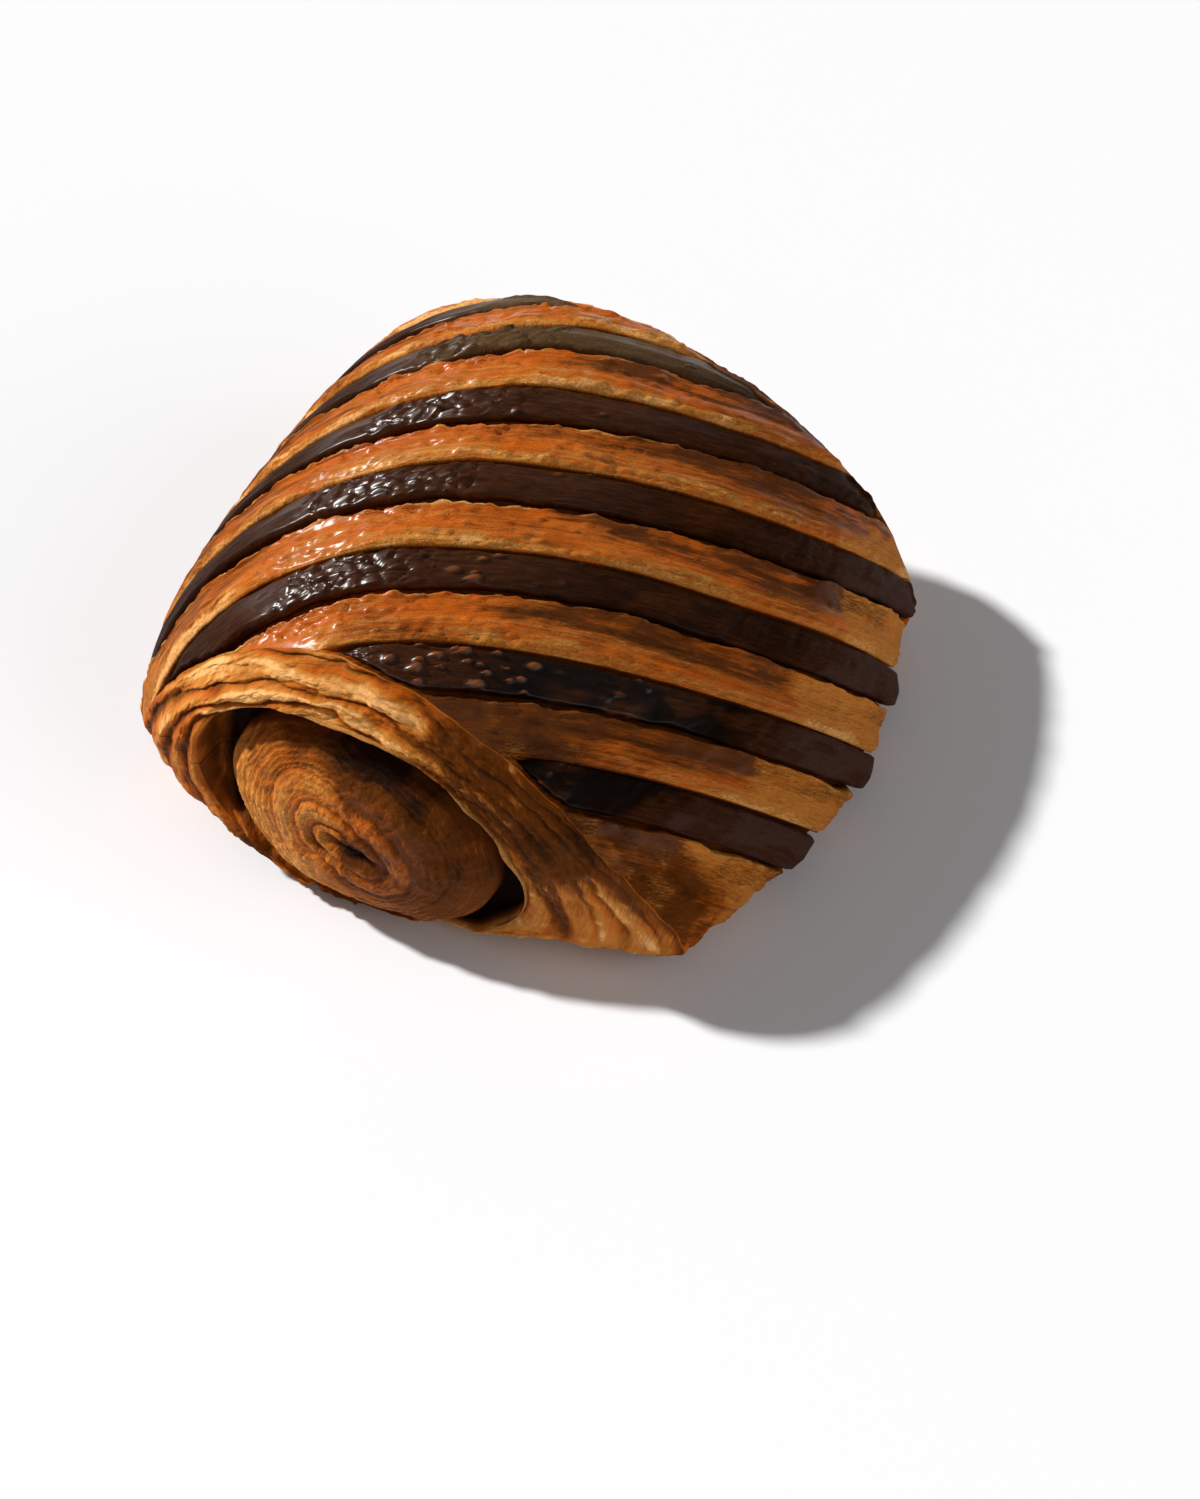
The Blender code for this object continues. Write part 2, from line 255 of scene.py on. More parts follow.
def rim(girth, end):
    """Where the crust stops along Y at one end."""
    left = np.clip((30.0 - girth) / 30.0, 0.0, 1.2)
    right = np.clip((girth - 115.0) / 45.0, 0.0, 1.2)
    ragged = 0.35 * rough(girth / 7.0, seed=20 + end)
    return end * (HALF_LENGTH - 7.6 * left**2 - 7.0 * right**2 - 0.3 + ragged)


def from_rim(girth, y):
    """How far a point is from the nearer end of the crust."""
    return np.minimum(y - rim(girth, -1), rim(girth, 1) - y)


def opened(girth, y):
    """1 on the open crust, and 0 at its foot and where it folds over at the rims."""
    return smooth(1.0, 6.0, skin(girth, y)[..., 2]) * smooth(*FOLD_OVER, from_rim(girth, y))


def washed(girth, y):
    """1 where the baker's brush laid egg wash, 0 low on both flanks and by the left fold."""
    stray = 4.0 * rough(girth / 9.0, y / 5.0, seed=25, octaves=4)
    brushed = window(girth + stray, 8.0, 22.0, 129.0, 134.0)
    beside_fold = (1.0 - smooth(46.0, 54.0, girth)) * (1.0 - smooth(5.0, 10.0, from_rim(girth, y)))
    return brushed * (1.0 - beside_fold)


# %% [markdown]
# ## The steps of the crust
# Between two strips lies a plain band. Behind each strip the band starts with a crumbly rounded
# edge, dips a little, and ends in a torn lip over the dark groove at the next strip's front edge.
# The heights come from one profile across a band. Finer things are added to it: streaks where a
# layer ends, an upper layer that is torn off in places, soft dents, and small blisters where the
# egg wash bubbled near the ridge.

# %% Relief of the plain dough
CHANNEL_HALF = HALF_STRIP + 0.42
GROOVE_FRONT = -CHANNEL_HALF - 0.45
BAND_START = CHANNEL_HALF + 0.12
BAND_END = STRIP_PERIOD + GROOVE_FRONT - 0.35
BAND_RUN = BAND_END - BAND_START
PROFILE = (
    (GROOVE_FRONT - 0.1, -0.9),
    (GROOVE_FRONT + 0.3, -1.7),
    (-CHANNEL_HALF + 0.2, -1.5),
    (-CHANNEL_HALF + 1.0, -1.2),
    (CHANNEL_HALF, -1.2),
    (BAND_START, 0.45),
    (BAND_START + 0.08 * BAND_RUN, 0.98),
    (BAND_START + 0.3 * BAND_RUN, 1.12),
    (BAND_START + 0.62 * BAND_RUN, 0.68),
    (BAND_START + 0.75 * BAND_RUN, 0.6),
    (BAND_START + 0.975 * BAND_RUN, 0.92),
    (BAND_END, 0.2),
)
PLACES, HEIGHTS = zip(*PROFILE)
PLAIN_HEIGHT = 0.9


def strip_number(offset):
    """The number of the strip whose middle line is nearest."""
    return STRIP_AT_FOOT - np.round(offset / STRIP_PERIOD)


def stripless(number):
    """True where the nearest line carries no strip, past the first and the last one."""
    return (number < min(STRIPS)) | (number > max(STRIPS))


def near_corner(number):
    """0 on the strips up to the fourth, and 1 on the last two, which the oven caught most."""
    return smooth(4.5, 6.0, number)


def across_band(offset):
    """0 at a band's front edge, 1 at its torn lip, and more than 1 in the groove and channel."""
    return ((offset - BAND_START) % STRIP_PERIOD) / BAND_RUN


def bubbly(girth):
    """1 near the ridge, where the wash was thick and blistered."""
    return window(girth, 38.0, 56.0, 84.0, 106.0)


def upper_layer(girth, offset):
    """1 where the thin upper layer of a band is still in place, 0 where it is torn off."""
    number = strip_number(offset - BAND_END)
    edge = across_band(offset) + 0.09 * rough(girth / 5.0, offset / 5.0, seed=51)
    there = smooth(-0.25, 0.2, wobble(girth / 19.0, number * 3.0, seed=52) + 0.1)
    return smooth(0.60, 0.64, edge) * there


def band_layers(girth, offset):
    """1 along the edges of the thin layers that show in the front half of each band."""
    share = across_band(offset)
    stray = 0.6 * rough(girth / 9.0, offset / 6.0, seed=33)
    lines = np.abs(np.sin(np.pi * (share * 6.0 + stray))) ** 1.5
    return lines * window(share, 0.08, 0.16, 0.34, 0.62)


def dough_relief(girth, offset):
    """Height of the crust above the smooth skin."""
    height = np.interp(offset, PLACES, HEIGHTS, period=STRIP_PERIOD)
    number = strip_number(offset)
    bare = stripless(number)
    height = np.where(bare, PLAIN_HEIGHT, height) - 0.7 * smooth(124.0, 152.0, girth)
    share = across_band(offset)
    on_band = window(share, 0.0, 0.06, 0.96, 1.05)
    on_band = np.where(bare, 1.0, on_band)
    streaks = 0.13 * rough(girth / 8.0, offset / 0.9, seed=31, octaves=2)
    dents = 0.24 * rough(girth / 7.0, offset / 4.0, seed=41, octaves=2)
    creases = 0.1 * wobble(girth / 2.2, offset / 6.0, seed=45)
    layer = 0.24 * upper_layer(girth, offset) + 0.13 * band_layers(girth, offset)
    lively = bubbly(girth)
    bubble = blisters(girth / 3.0, offset / 2.1, seed=61, share=0.3 + 0.3 * lively)
    bubble = (0.1 + 0.3 * lively) * bubble
    glossy = smooth(0.1, 0.7, lively) * (1.0 - smooth(72.0, 82.0, girth)) * smooth(0.3, 0.5, share)
    glossy = glossy * smooth(-0.5, 0.1, wobble(girth / 6.0, number * 7.0, seed=65) + 0.2)
    bubble = bubble + 0.26 * glossy * plates(girth / 3.2, offset / 1.9, seed=63)
    bubble = bubble + 0.25 * glossy * wobble(girth / 3.5, offset / 2.2, seed=64)
    crumbs = window(share, 0.0, 0.03, 0.13, 0.24)
    crumbs = 0.19 * crumbs * rough(girth / 0.8, offset / 0.75, seed=71, octaves=2)
    lip = window(share, 0.92, 0.97, 1.0, 1.04)
    lip = 0.22 * lip * rough(girth / 1.6, number, seed=75)
    return height + on_band * (streaks + dents + creases + layer + bubble - 0.2) + crumbs + lip


print("band of", round(BAND_RUN, 1), "mm between strips", round(STRIP_WIDTH, 1), "mm wide")

# %% [markdown]
# ## Meshes from grids
# Every surface here is a grid of points, so one helper joins neighbours into faces. Where a row
# runs off the end of the roll its points are the same point, and such faces lose a corner or vanish.
# A piece also carries values on its points, which its finish reads later.

# %% Grid and mesh helpers


def grid_faces(ids):
    """Quads between the neighbours of a grid of point numbers."""
    quads = np.stack([ids[:-1, :-1], ids[1:, :-1], ids[1:, 1:], ids[:-1, 1:]], axis=-1)
    return quads.reshape(-1, 4)


def loop_ids(points):
    """The point numbers of a stack of loops, each closed by its first point once more."""
    ids = np.arange(points[..., 0].size).reshape(points.shape[:2])
    return np.concatenate([ids, ids[:, :1]], axis=1)


def whole_faces(quads):
    """The faces that are left once corners that are the same point are merged."""
    same = quads == np.roll(quads, 1, axis=1)
    kept = quads[~same.any(axis=1)].tolist()
    for quad, twin in zip(quads[same.any(axis=1)].tolist(), same[same.any(axis=1)].tolist()):
        corners = [corner for corner, doubled in zip(quad, twin) if not doubled]
        if len(set(corners)) > 2:
            kept.append(corners)
    return kept


def new_piece(name, points, quads, node, slot, **fields):
    """A smooth mesh piece in the frame, with fields of values on its points for its finish."""
    used, compact = np.unique(quads, return_inverse=True)
    quads = compact.reshape(quads.shape)
    mesh = bpy.data.meshes.new(name)
    mesh.from_pydata((points[used] * MM).tolist(), [], whole_faces(quads))
    mesh.shade_smooth()
    for field, values in fields.items():
        values = np.asarray(values, dtype=np.float32)[used]
        vector = values.ndim == 2
        layer = mesh.attributes.new(field, "FLOAT_VECTOR" if vector else "FLOAT", "POINT")
        layer.data.foreach_set("vector" if vector else "value", values.ravel())
    piece = bpy.data.objects.new(name, mesh)
    bpy.context.scene.collection.objects.link(piece)
    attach(piece, "root")
    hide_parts(node)
    print(f"{name}: {len(mesh.vertices)} points, {len(mesh.polygons)} faces")
    return piece


print("a grid of 3 by 3 points has", len(grid_faces(np.arange(9).reshape(3, 3))), "faces")

# %% [markdown]
# ## The crust
# The crust is a sheet from the left foot over the top to the right foot. Its columns stand at even
# girths. Its rows follow the strips, so that a groove is always as sharp as its rows are close, and
# rows stand closer at the walls and lips than in the middle of a band.

# %% The crust's columns and rows
COLUMNS, PERIODS, LIP_RUN = 440, range(-6, 7), 0.6
ROW_RUNS = (
    (-CHANNEL_HALF, CHANNEL_HALF, 8),
    (CHANNEL_HALF, BAND_START, 2),
    (BAND_START, BAND_END - LIP_RUN, 24),
    (BAND_END - LIP_RUN, BAND_END, 4),
    (BAND_END, STRIP_PERIOD - CHANNEL_HALF, 5),
)
row_places = [np.linspace(start, stop, rows + 1)[:-1] for start, stop, rows in ROW_RUNS]
row_places = np.concatenate(row_places)
row_offsets = np.concatenate([row_places + STRIP_PERIOD * n for n in PERIODS])
girths = np.linspace(ARC[0], ARC[-1], COLUMNS)
GIRTH, ROW = np.meshgrid(girths, row_offsets, indexing="ij")


def torn(girth, offset):
    """Pushes the lip of each band back and forth, so that it looks torn."""
    share = across_band(offset)
    near_lip = window(share, 0.75, 0.98, 1.0, 1.09)
    number = strip_number(offset - BAND_END)
    drawn_back = 0.95 * (1.0 - smooth(52.0, 86.0, girth)) - 0.6 * smooth(84.0, 104.0, girth)
    return near_lip * (0.4 * rough(girth / 4.0, number * 7.0, seed=81, octaves=4) - drawn_back)


def crust_place(girth, offset):
    """Y of a point of the crust, before it is cut off at the rims."""
    return strip_line(girth) + offset + wander(girth, offset) + torn(girth, offset)


Y = crust_place(GIRTH, ROW)
print(len(row_places), "rows to each band and strip")

# %% [markdown]
# ## Cut off at the rims
# The rows run on past both ends. In each column the first row past a rim is moved onto that rim, and
# all rows beyond it become the same point, so that the sheet ends in one clean, ragged line.

# %% The rims
SPARE_ROW = 0.12
near, far = rim(girths, -1)[:, None], rim(girths, 1)[:, None]
first = np.argmax(Y > near + SPARE_ROW, axis=1) - 1
last = Y.shape[1] - np.argmax(Y[:, ::-1] < far - SPARE_ROW, axis=1)
kept_row = np.clip(np.arange(Y.shape[1])[None, :], first[:, None], last[:, None])
at_near, at_far = kept_row == first[:, None], kept_row == last[:, None]
Y = np.where(at_near, near, np.where(at_far, far, Y))
OFFSET = np.where(at_near | at_far, Y - strip_line(GIRTH) - wander(GIRTH, ROW), ROW)
SKIN = skin(GIRTH, Y)
ids = np.arange(COLUMNS)[:, None] * Y.shape[1] + kept_row
print("crust grid:", Y.shape)

# %% [markdown]
# ## Fold, crease and tear
# The sheet turns down over both rims, higher at the near one. Beside the near fold it is gathered
# into a fan of creases, and along the right foot its lowest layer is torn and ragged. The relief is
# worked out first, and then every point is moved out along the smooth skin's normal.

# %% The crust's points
EDGE_HEIGHT = {-1: 0.55, 1: 0.3}
CREASE_PITCH, CREASE_DEEP, TORN_DEEP, RAGGED = 3.4, 0.8, 0.55, 0.75
nearer = np.where(Y < 0.0, EDGE_HEIGHT[-1], EDGE_HEIGHT[1])
standing = smooth(0.5, 6.0, SKIN[..., 2])
RELIEF = dough_relief(GIRTH, OFFSET)
BESIDE_FOLD = smooth(98.0, 118.0, GIRTH) * (1.0 - smooth(6.0, 15.0, Y - rim(GIRTH, -1)))
fan = (Y - rim(GIRTH, -1)) / CREASE_PITCH + 0.5 * rough(GIRTH / 14.0, Y / 9.0, seed=83)
FAN = 1.0 - np.abs(np.sin(np.pi * fan)) ** 0.4
RELIEF -= CREASE_DEEP * BESIDE_FOLD * FAN
TORN_FOOT = smooth(150.0, 150.8, GIRTH + 2.4 * rough(Y / 3.0, GIRTH / 8.0, seed=85))
TORN_FOOT *= 1.0 - smooth(-24.0, -14.0, Y)
RELIEF -= TORN_DEEP * TORN_FOOT
OPENED = opened(GIRTH, Y)
RELIEF = RELIEF * OPENED + nearer * standing * (1.0 - smooth(*FOLD_OVER, from_rim(GIRTH, Y)))
crust_points = raised(GIRTH, Y, RELIEF)
crust_points[..., 2] = np.where(standing > 0.0, np.maximum(crust_points[..., 2], 0.0), 0.0)
low = (1.0 - smooth(2.0, 7.0, SKIN[..., 2])) * smooth(120.0, 140.0, GIRTH)
ragged = RAGGED * low * rough(Y / 2.2, 0.0 * Y, seed=87)
crust_points[..., 0] += ragged * (0.4 + 0.6 * (Y < -12.0))
print("the crust stands up to", round(float(crust_points[..., 2].max()), 1), "mm high")

# %% [markdown]
# ## What the finish needs to know
# The finish is painted by rule, from where a point is: pale on torn lips and crumbly edges, deep
# brown in grooves as painted shade, orange-brown on the swell. The lips' pale gold is partly torn
# dough and partly a painted highlight, and it fades down the right flank, away from the lamp. Those
# rules are easier in numpy than in shader nodes, so each point carries a few numbers from 0 to 1,
# and the shader adds the fine grain to them.

# %% Where the crust is pale
SHARE = across_band(OFFSET)
NUMBER = strip_number(OFFSET)
BARE = stripless(NUMBER)
WASH = washed(GIRTH, Y)
in_groove = np.where(BARE, 0.0, smooth(1.0, 1.06, SHARE)) * OPENED
lip_gold_and_highlight = window(SHARE, 0.915, 0.95, 1.0, 1.05)
lip_gold_and_highlight *= smooth(-0.9, 0.1, rough(GIRTH / 5.0, NUMBER * 3.0, seed=91))
# Fainter down the right flank, away from the lamp: the lip's gold is partly a painted highlight.
lip_gold_and_highlight *= 0.9 - 0.65 * smooth(84.0, 104.0, GIRTH)
lip_gold_and_highlight *= 0.8 + 0.5 * rough(GIRTH / 1.4, NUMBER, seed=97, octaves=2)
crumb_gold = 1.0 - smooth(0.06, 0.26, SHARE + 0.09 * rough(GIRTH / 2.0, OFFSET, seed=92))
crumb_gold = np.where(BARE, 0.0, crumb_gold) * (0.5 + 0.5 * (1.0 - smooth(85.0, 115.0, GIRTH)))
crumb_gold *= 0.75 + 0.35 * rough(GIRTH / 6.0, NUMBER * 5.0, seed=93)
missed = (1.0 - WASH) * smooth(2.0, 8.0, SKIN[..., 2])
streaky = smooth(-0.1, 0.6, rough(GIRTH / 11.0, OFFSET / 0.9, seed=94))
layer_gold = band_layers(GIRTH, OFFSET) * smooth(-0.5, 0.4, rough(GIRTH / 6.0, NUMBER, seed=98))
crust_gold = 0.95 * lip_gold_and_highlight + 0.85 * crumb_gold + 0.36 * streaky * WASH + 0.62 * missed
crust_gold += 0.4 * layer_gold * WASH
crust_gold = np.clip(crust_gold, 0.0, 1.15) * (1.0 - in_groove)
crust_gold = np.maximum(crust_gold, 0.75 * TORN_FOOT)
beside = smooth(64.0, 84.0, GIRTH) * (1.0 - smooth(4.0, 12.0, Y - rim(GIRTH, -1)))
mottled = rough(GIRTH / 5.0, Y / 3.5, seed=96)
crust_gold = crust_gold * (1.0 - beside) + beside * 0.5 * smooth(-0.1, 0.9, mottled)
print("pale share of the crust:", round(float((crust_gold > 0.6).mean()), 2))

# %% [markdown]
# ## Brown and shine
# The oven browns what stands up and faces its heat: the long right flank, the strip of crust beside
# the near fold and the stretches where the upper layer is still in place. Grooves are painted brown
# too, as painted shade, because no light gets in, and so are the creases of the fan beside the near
# fold. The wash shines on the ridge and thins out down both flanks.

# %% Where the crust is brown, and the piece
scorched = upper_layer(GIRTH, OFFSET) * smooth(60.0, 95.0, GIRTH)
swelling = 1.0 - smooth(0.15, 0.6, SHARE)
flank = smooth(70.0, 120.0, GIRTH) * WASH
left_flank = 1.0 - smooth(30.0, 62.0, GIRTH)
charred = smooth(0.05, 0.45, rough(GIRTH / 7.0, OFFSET / 1.1, seed=95, octaves=4))
charred *= smooth(72.0, 90.0, GIRTH) * smooth(0.4, 0.7, SHARE) * WASH
# Painted shade: dark in the grooves and in the creases of the fan beside the near fold.
crust_brown_and_shade = (
    (0.45 + 0.5 * smooth(50.0, 82.0, GIRTH)) * in_groove
    + (0.55 * scorched + 0.5 * charred) * (1.0 - lip_gold_and_highlight)
    + 0.4 * flank * (1.0 - swelling) + BESIDE_FOLD * (0.2 + 0.45 * FAN - 0.2 * mottled)
)
foot_corner = smooth(140.0, 156.0, GIRTH)
crust_brown_and_shade = crust_brown_and_shade * (1.0 - beside) + beside * (1.05 - 0.8 * foot_corner - 0.3 * mottled)
crust_brown_and_shade = np.clip(crust_brown_and_shade + 0.1 * flank + 0.5 * left_flank, 0.0, 1.15)
crust_wash = WASH * (1.0 - 0.7 * crumb_gold) * (1.0 - in_groove)
thin_right, thin_left = smooth(88.0, 120.0, GIRTH), 1.0 - smooth(44.0, 60.0, GIRTH)
crust_wash *= 1.0 - 0.65 * thin_right - 0.92 * thin_left
grain = np.stack([GIRTH, OFFSET, 0.0 * GIRTH], axis=-1)

crust = new_piece(
    "crust", crust_points.reshape(-1, 3), grid_faces(ids), "dough_roll", "baked_dough",
    gold=crust_gold.ravel(), brown=crust_brown_and_shade.ravel(), wash=crust_wash.ravel(),
    grain=grain.reshape(-1, 3),
)

# %% [markdown]
# ## A rolled end
# Each end shows how the roll was made. Outside is the cut edge of the last sheet, a bevel of pale
# layers. Behind its lip a deep gap runs round the inner roll, and the inner roll swells out in a
# dome, with its layers winding to the middle. All of it is a height above a flat end, so the end is
# a set of rings from the rim to the middle, each pushed out by a rule.

# %% The rings' outlines
SWIRL = (-5.17, 21.0)
SWIRL_SCALE = {-1: (1.0, 1.0), 1: (1.08, 0.89)}
LIP_HALF, ROLL_HALF = (27.5, 21.5), (22.4, 17.6)
END_TILT = math.radians(-12)
LIP_OUT, LIP_DROP, GAP_DEPTH = 4.6, 2.0, 7.5
ROLL_OUT, ROLL_LEAN, ROLL_DOME = 4.4, 2.4, 5.4
FOOT_BULGE, FOOT_BULGE_AT, FOOT_BULGE_REACH = 13.2, -16.2, (17.0, 30.0)
STAY_INSIDE = 0.86
FLATTENED, FLATTENED_AT, FLATTENED_SPAN = 0.075, 115.0, 38.0


def ellipse_reach(direction, half):
    """How far an ellipse with the end's tilt reaches from its centre in a direction."""
    turned = direction - END_TILT
    return 1.0 / np.hypot(np.cos(turned) / half[0], np.sin(turned) / half[1])


def foot_line(start, stop, end, count):
    """Points along an end's foot on the board, between two corners."""
    share = np.linspace(0.0, 1.0, count + 2)[1:-1]
    x = start[0] + (stop[0] - start[0]) * share
    y = start[1] + (stop[1] - start[1]) * share
    reach = np.where(x < FOOT_BULGE_AT, *FOOT_BULGE_REACH)
    bulge = FOOT_BULGE * np.exp(-(((x - FOOT_BULGE_AT) / reach) ** 2))
    y = y + end * bulge * np.sin(np.pi * share) ** 0.6
    return np.stack([x, y, 0.0 * x], axis=-1)


class EndPlan:
    """The directions and reaches of an end's rings, from the closed loop of its rim and foot."""

    def __init__(self, loop, end):
        scale = np.array(SWIRL_SCALE[end])
        self.end = end
        self.centre = np.array(SWIRL) * scale
        away = loop[:, [0, 2]] - self.centre
        self.direction = np.arctan2(away[:, 1] / scale[1], away[:, 0] / scale[0])
        degrees = np.degrees(self.direction)
        self.degrees = np.where(degrees < -90.0, degrees + 360.0, degrees)
        self.reach = np.hypot(away[:, 0], away[:, 1])
        self.unit = away / self.reach[:, None]
        stretch = np.hypot(np.cos(self.direction) * scale[0], np.sin(self.direction) * scale[1])
        lip = ellipse_reach(self.direction, LIP_HALF) * stretch
        roll = ellipse_reach(self.direction, ROLL_HALF) * stretch
        self.lip = np.minimum(lip, STAY_INSIDE * self.reach)
        flattened = np.exp(-(((self.degrees - FLATTENED_AT) / FLATTENED_SPAN) ** 2))
        self.roll = np.minimum(roll * (1.0 - FLATTENED * flattened), STAY_INSIDE * self.lip)
        self.rim_out = end * loop[:, 1]
        lip_out = HALF_LENGTH + LIP_OUT - LIP_DROP * (1.0 - smooth(-30.0, 20.0, self.degrees))
        self.lip_out = np.maximum(lip_out, self.rim_out + 1.0)
        self.roll_out = HALF_LENGTH + ROLL_OUT - ROLL_LEAN * np.sin(self.direction)
        opens = window(self.degrees, -62.0, -38.0, 180.0, 212.0)
        self.deep = GAP_DEPTH * opens


print("lip opening:", [2 * half for half in LIP_HALF], "inner roll:", [2 * h for h in ROLL_HALF])

# %% [markdown]
# ## The cut edge of the last sheet
# Layers in the cut edge run side by side along the rim: thick pale folds on the left and over the
# top, and a smooth brown swell with a few fanned creases on the right. A rule takes a ring's share
# of the way in, and gives its reach, its height and the three numbers for the finish. A rule is
# easier to change than a sculpted mesh, and it works at both ends.

# %% The wrap's rule
WRAP_RINGS, DEGREES_PER_RADIAN = 60, 57.3


def fold(turns, sharpness):
    """A row of rounded folds: 1 along each crest and 0 in the creases between them."""
    return np.abs(np.sin(np.pi * turns)) ** sharpness


def wrap_ring(plan, share):
    """The cut edge of the last sheet, from the rim at 0 to the lip at 1."""
    turn = plan.degrees / DEGREES_PER_RADIAN
    layered = window(plan.degrees, 46.0, 82.0, 200.0, 232.0)
    leftmost = smooth(138.0, 166.0, plan.degrees)
    drift = 0.4 * turn + 0.34 * rough(turn * 2.2, share * 2.4, seed=101)
    thick = fold(share * (2.7 + 0.9 * leftmost) + drift, 0.7 + 0.7 * leftmost)
    thin = fold(share * 9.0 + 2.6 * drift + 0.4 * rough(turn * 6.0, share * 4.0, seed=102), 0.7)
    waved = share * 2.6 - 0.35 * turn + 0.3 * rough(turn * 2.0, share * 1.5, seed=104)
    crease = (1.0 - fold(waved, 0.3)) * smooth(-0.5, 0.3, wobble(turn * 3.0, share * 3.0, seed=106))
    fuzz = 0.16 * rough(turn * 34.0, share * 24.0, seed=105, octaves=2)
    soft = 0.6 * rough(turn * 5.0, share * 3.2, seed=103, octaves=2)
    inside = window(share, 0.0, 0.08, 0.94, 1.0)
    folds = layered * (thick + 0.2 * thin - 0.8 + fuzz)
    pebbly = blisters(turn * 11.0, share * 9.0, seed=108, share=0.6)
    strands = rough(turn * 1.6 + 0.3 * drift, share * 13.0 + 3.0 * drift, seed=109)
    swell = 0.5 - crease + 0.24 * strands + 0.25 * pebbly + 0.9 * fuzz
    swell = swell * (1.0 - layered)
    out = plan.rim_out + (plan.lip_out - plan.rim_out) * np.sin(0.5 * np.pi * share)
    out = out + (folds + swell + (0.4 + 0.6 * layered) * soft) * inside
    distance = plan.reach + (plan.lip - plan.reach) * share
    blotch = rough(turn * 4.0, share * 3.5, seed=107)
    crest = smooth(0.56, 1.0, thick) ** (1.0 + 2.0 * leftmost) * (0.66 + 0.39 * thin)
    shaded_valley = 1.0 - smooth(0.05, 0.75, thick)
    gold = layered * (0.24 + (0.86 - 0.36 * leftmost) * crest + 0.3 * blotch)
    low_right = 1.0 - smooth(-30.0, 22.0, plan.degrees)
    # The swell's crest and its small bumps are painted golden, partly as painted highlight, and its
    # creases are painted darker, as painted shade.
    ridge = fold(waved, 2.5)
    golden = 0.45 * ridge * smooth(-0.4, 0.6, blotch) + 0.3 * pebbly
    golden = golden + low_right * (0.62 + 0.3 * blotch - 0.5 * crease)
    gold = gold + (1.0 - layered) * (golden + 0.35 * strands * smooth(-0.4, 0.4, strands))
    # Darker in the valleys between folds: painted shade.
    brown = layered * (0.2 + 0.65 * shaded_valley - 0.25 * blotch)
    browned = 0.95 + 0.7 * crease - 0.9 * low_right - 0.25 * blotch - 0.35 * strands
    brown = brown + (1.0 - layered) * browned
    gold, brown = np.clip(gold, 0.0, 1.4), np.clip(brown, 0.0, 1.3)
    glazed = (0.04 + 0.4 * pebbly * ridge) * (1.0 - layered) * smooth(-40.0, 0.0, plan.degrees)
    return distance, out, gold, brown, glazed


print("wrap:", WRAP_RINGS, "rings")

# %% [markdown]
# ## The gap
# The lip hangs over a deep, dark gap. Its floor drops quickly behind the lip and climbs to the
# inner roll, with ragged shelves where layers broke. Its colour is painted darker the deeper it
# lies, as painted shade, and its left wall is painted lighter, as painted light.

# %% The gap's rule
GAP_RINGS = 12
GAP_PLACES, GAP_FLOOR = (0.0, 0.12, 0.5, 0.9, 1.0), (0.0, 0.75, 1.0, 0.8, 0.16)


def gap_ring(plan, share):
    """The gap, from the lip at 0 to the inner roll's edge at 1."""
    floor = np.interp(share, GAP_PLACES, GAP_FLOOR)
    level = plan.lip_out + (plan.roll_out - plan.lip_out) * share
    turn = plan.degrees / DEGREES_PER_RADIAN
    shelf = 0.9 * rough(turn * 5.0, share * 3.0, seed=111) + 0.8 * fold(share * 4.0 + turn, 0.6)
    out = level - plan.deep * floor + shelf * floor
    distance = plan.lip + (plan.roll - plan.lip) * share
    # Painted shade: the deeper in the gap, the darker.
    gap_shade = plan.deep / GAP_DEPTH * floor
    # The left wall is painted lighter and more golden, as painted light.
    wall = smooth(105.0, 140.0, plan.degrees) * (1.0 - smooth(0.2, 0.55, share))
    mottled = rough(turn * 7.0, share * 5.0, seed=113)
    gold = 0.1 * (1.0 - gap_shade) + wall * (0.25 + 0.3 * mottled)
    brown = 0.75 + smooth(0.0, 0.5, gap_shade) - wall * (0.95 + 0.3 * mottled)
    return distance, out, np.clip(gold, 0.0, 1.0), np.clip(brown, 0.0, 1.8), 0.0 * out


print("gap:", GAP_RINGS, "rings,", GAP_DEPTH, "mm deep")

# %% [markdown]
# ## The inner roll
# The inner roll's layers wind inwards: a crease runs where distance and direction together make a
# whole turn. Between two creases lie four fine terraces, one for each thin layer. The middle is
# flattened, because the roll sank a little on its side, and a slit and a hollow open in it.

# %% The inner roll's rule
ROLL_RINGS, INNER_PITCH, LAYERS_A_TURN = 102, 3.7, 4.0
INNER_TILT = math.radians(-24)
INNER_FLAT, CORE_FLAT, CORE_REACH, INNER_SPREAD = 1.25, 0.85, 8.0, 0.92
DOME_POWER, EDGE_ROUND = 2.4, 1.2


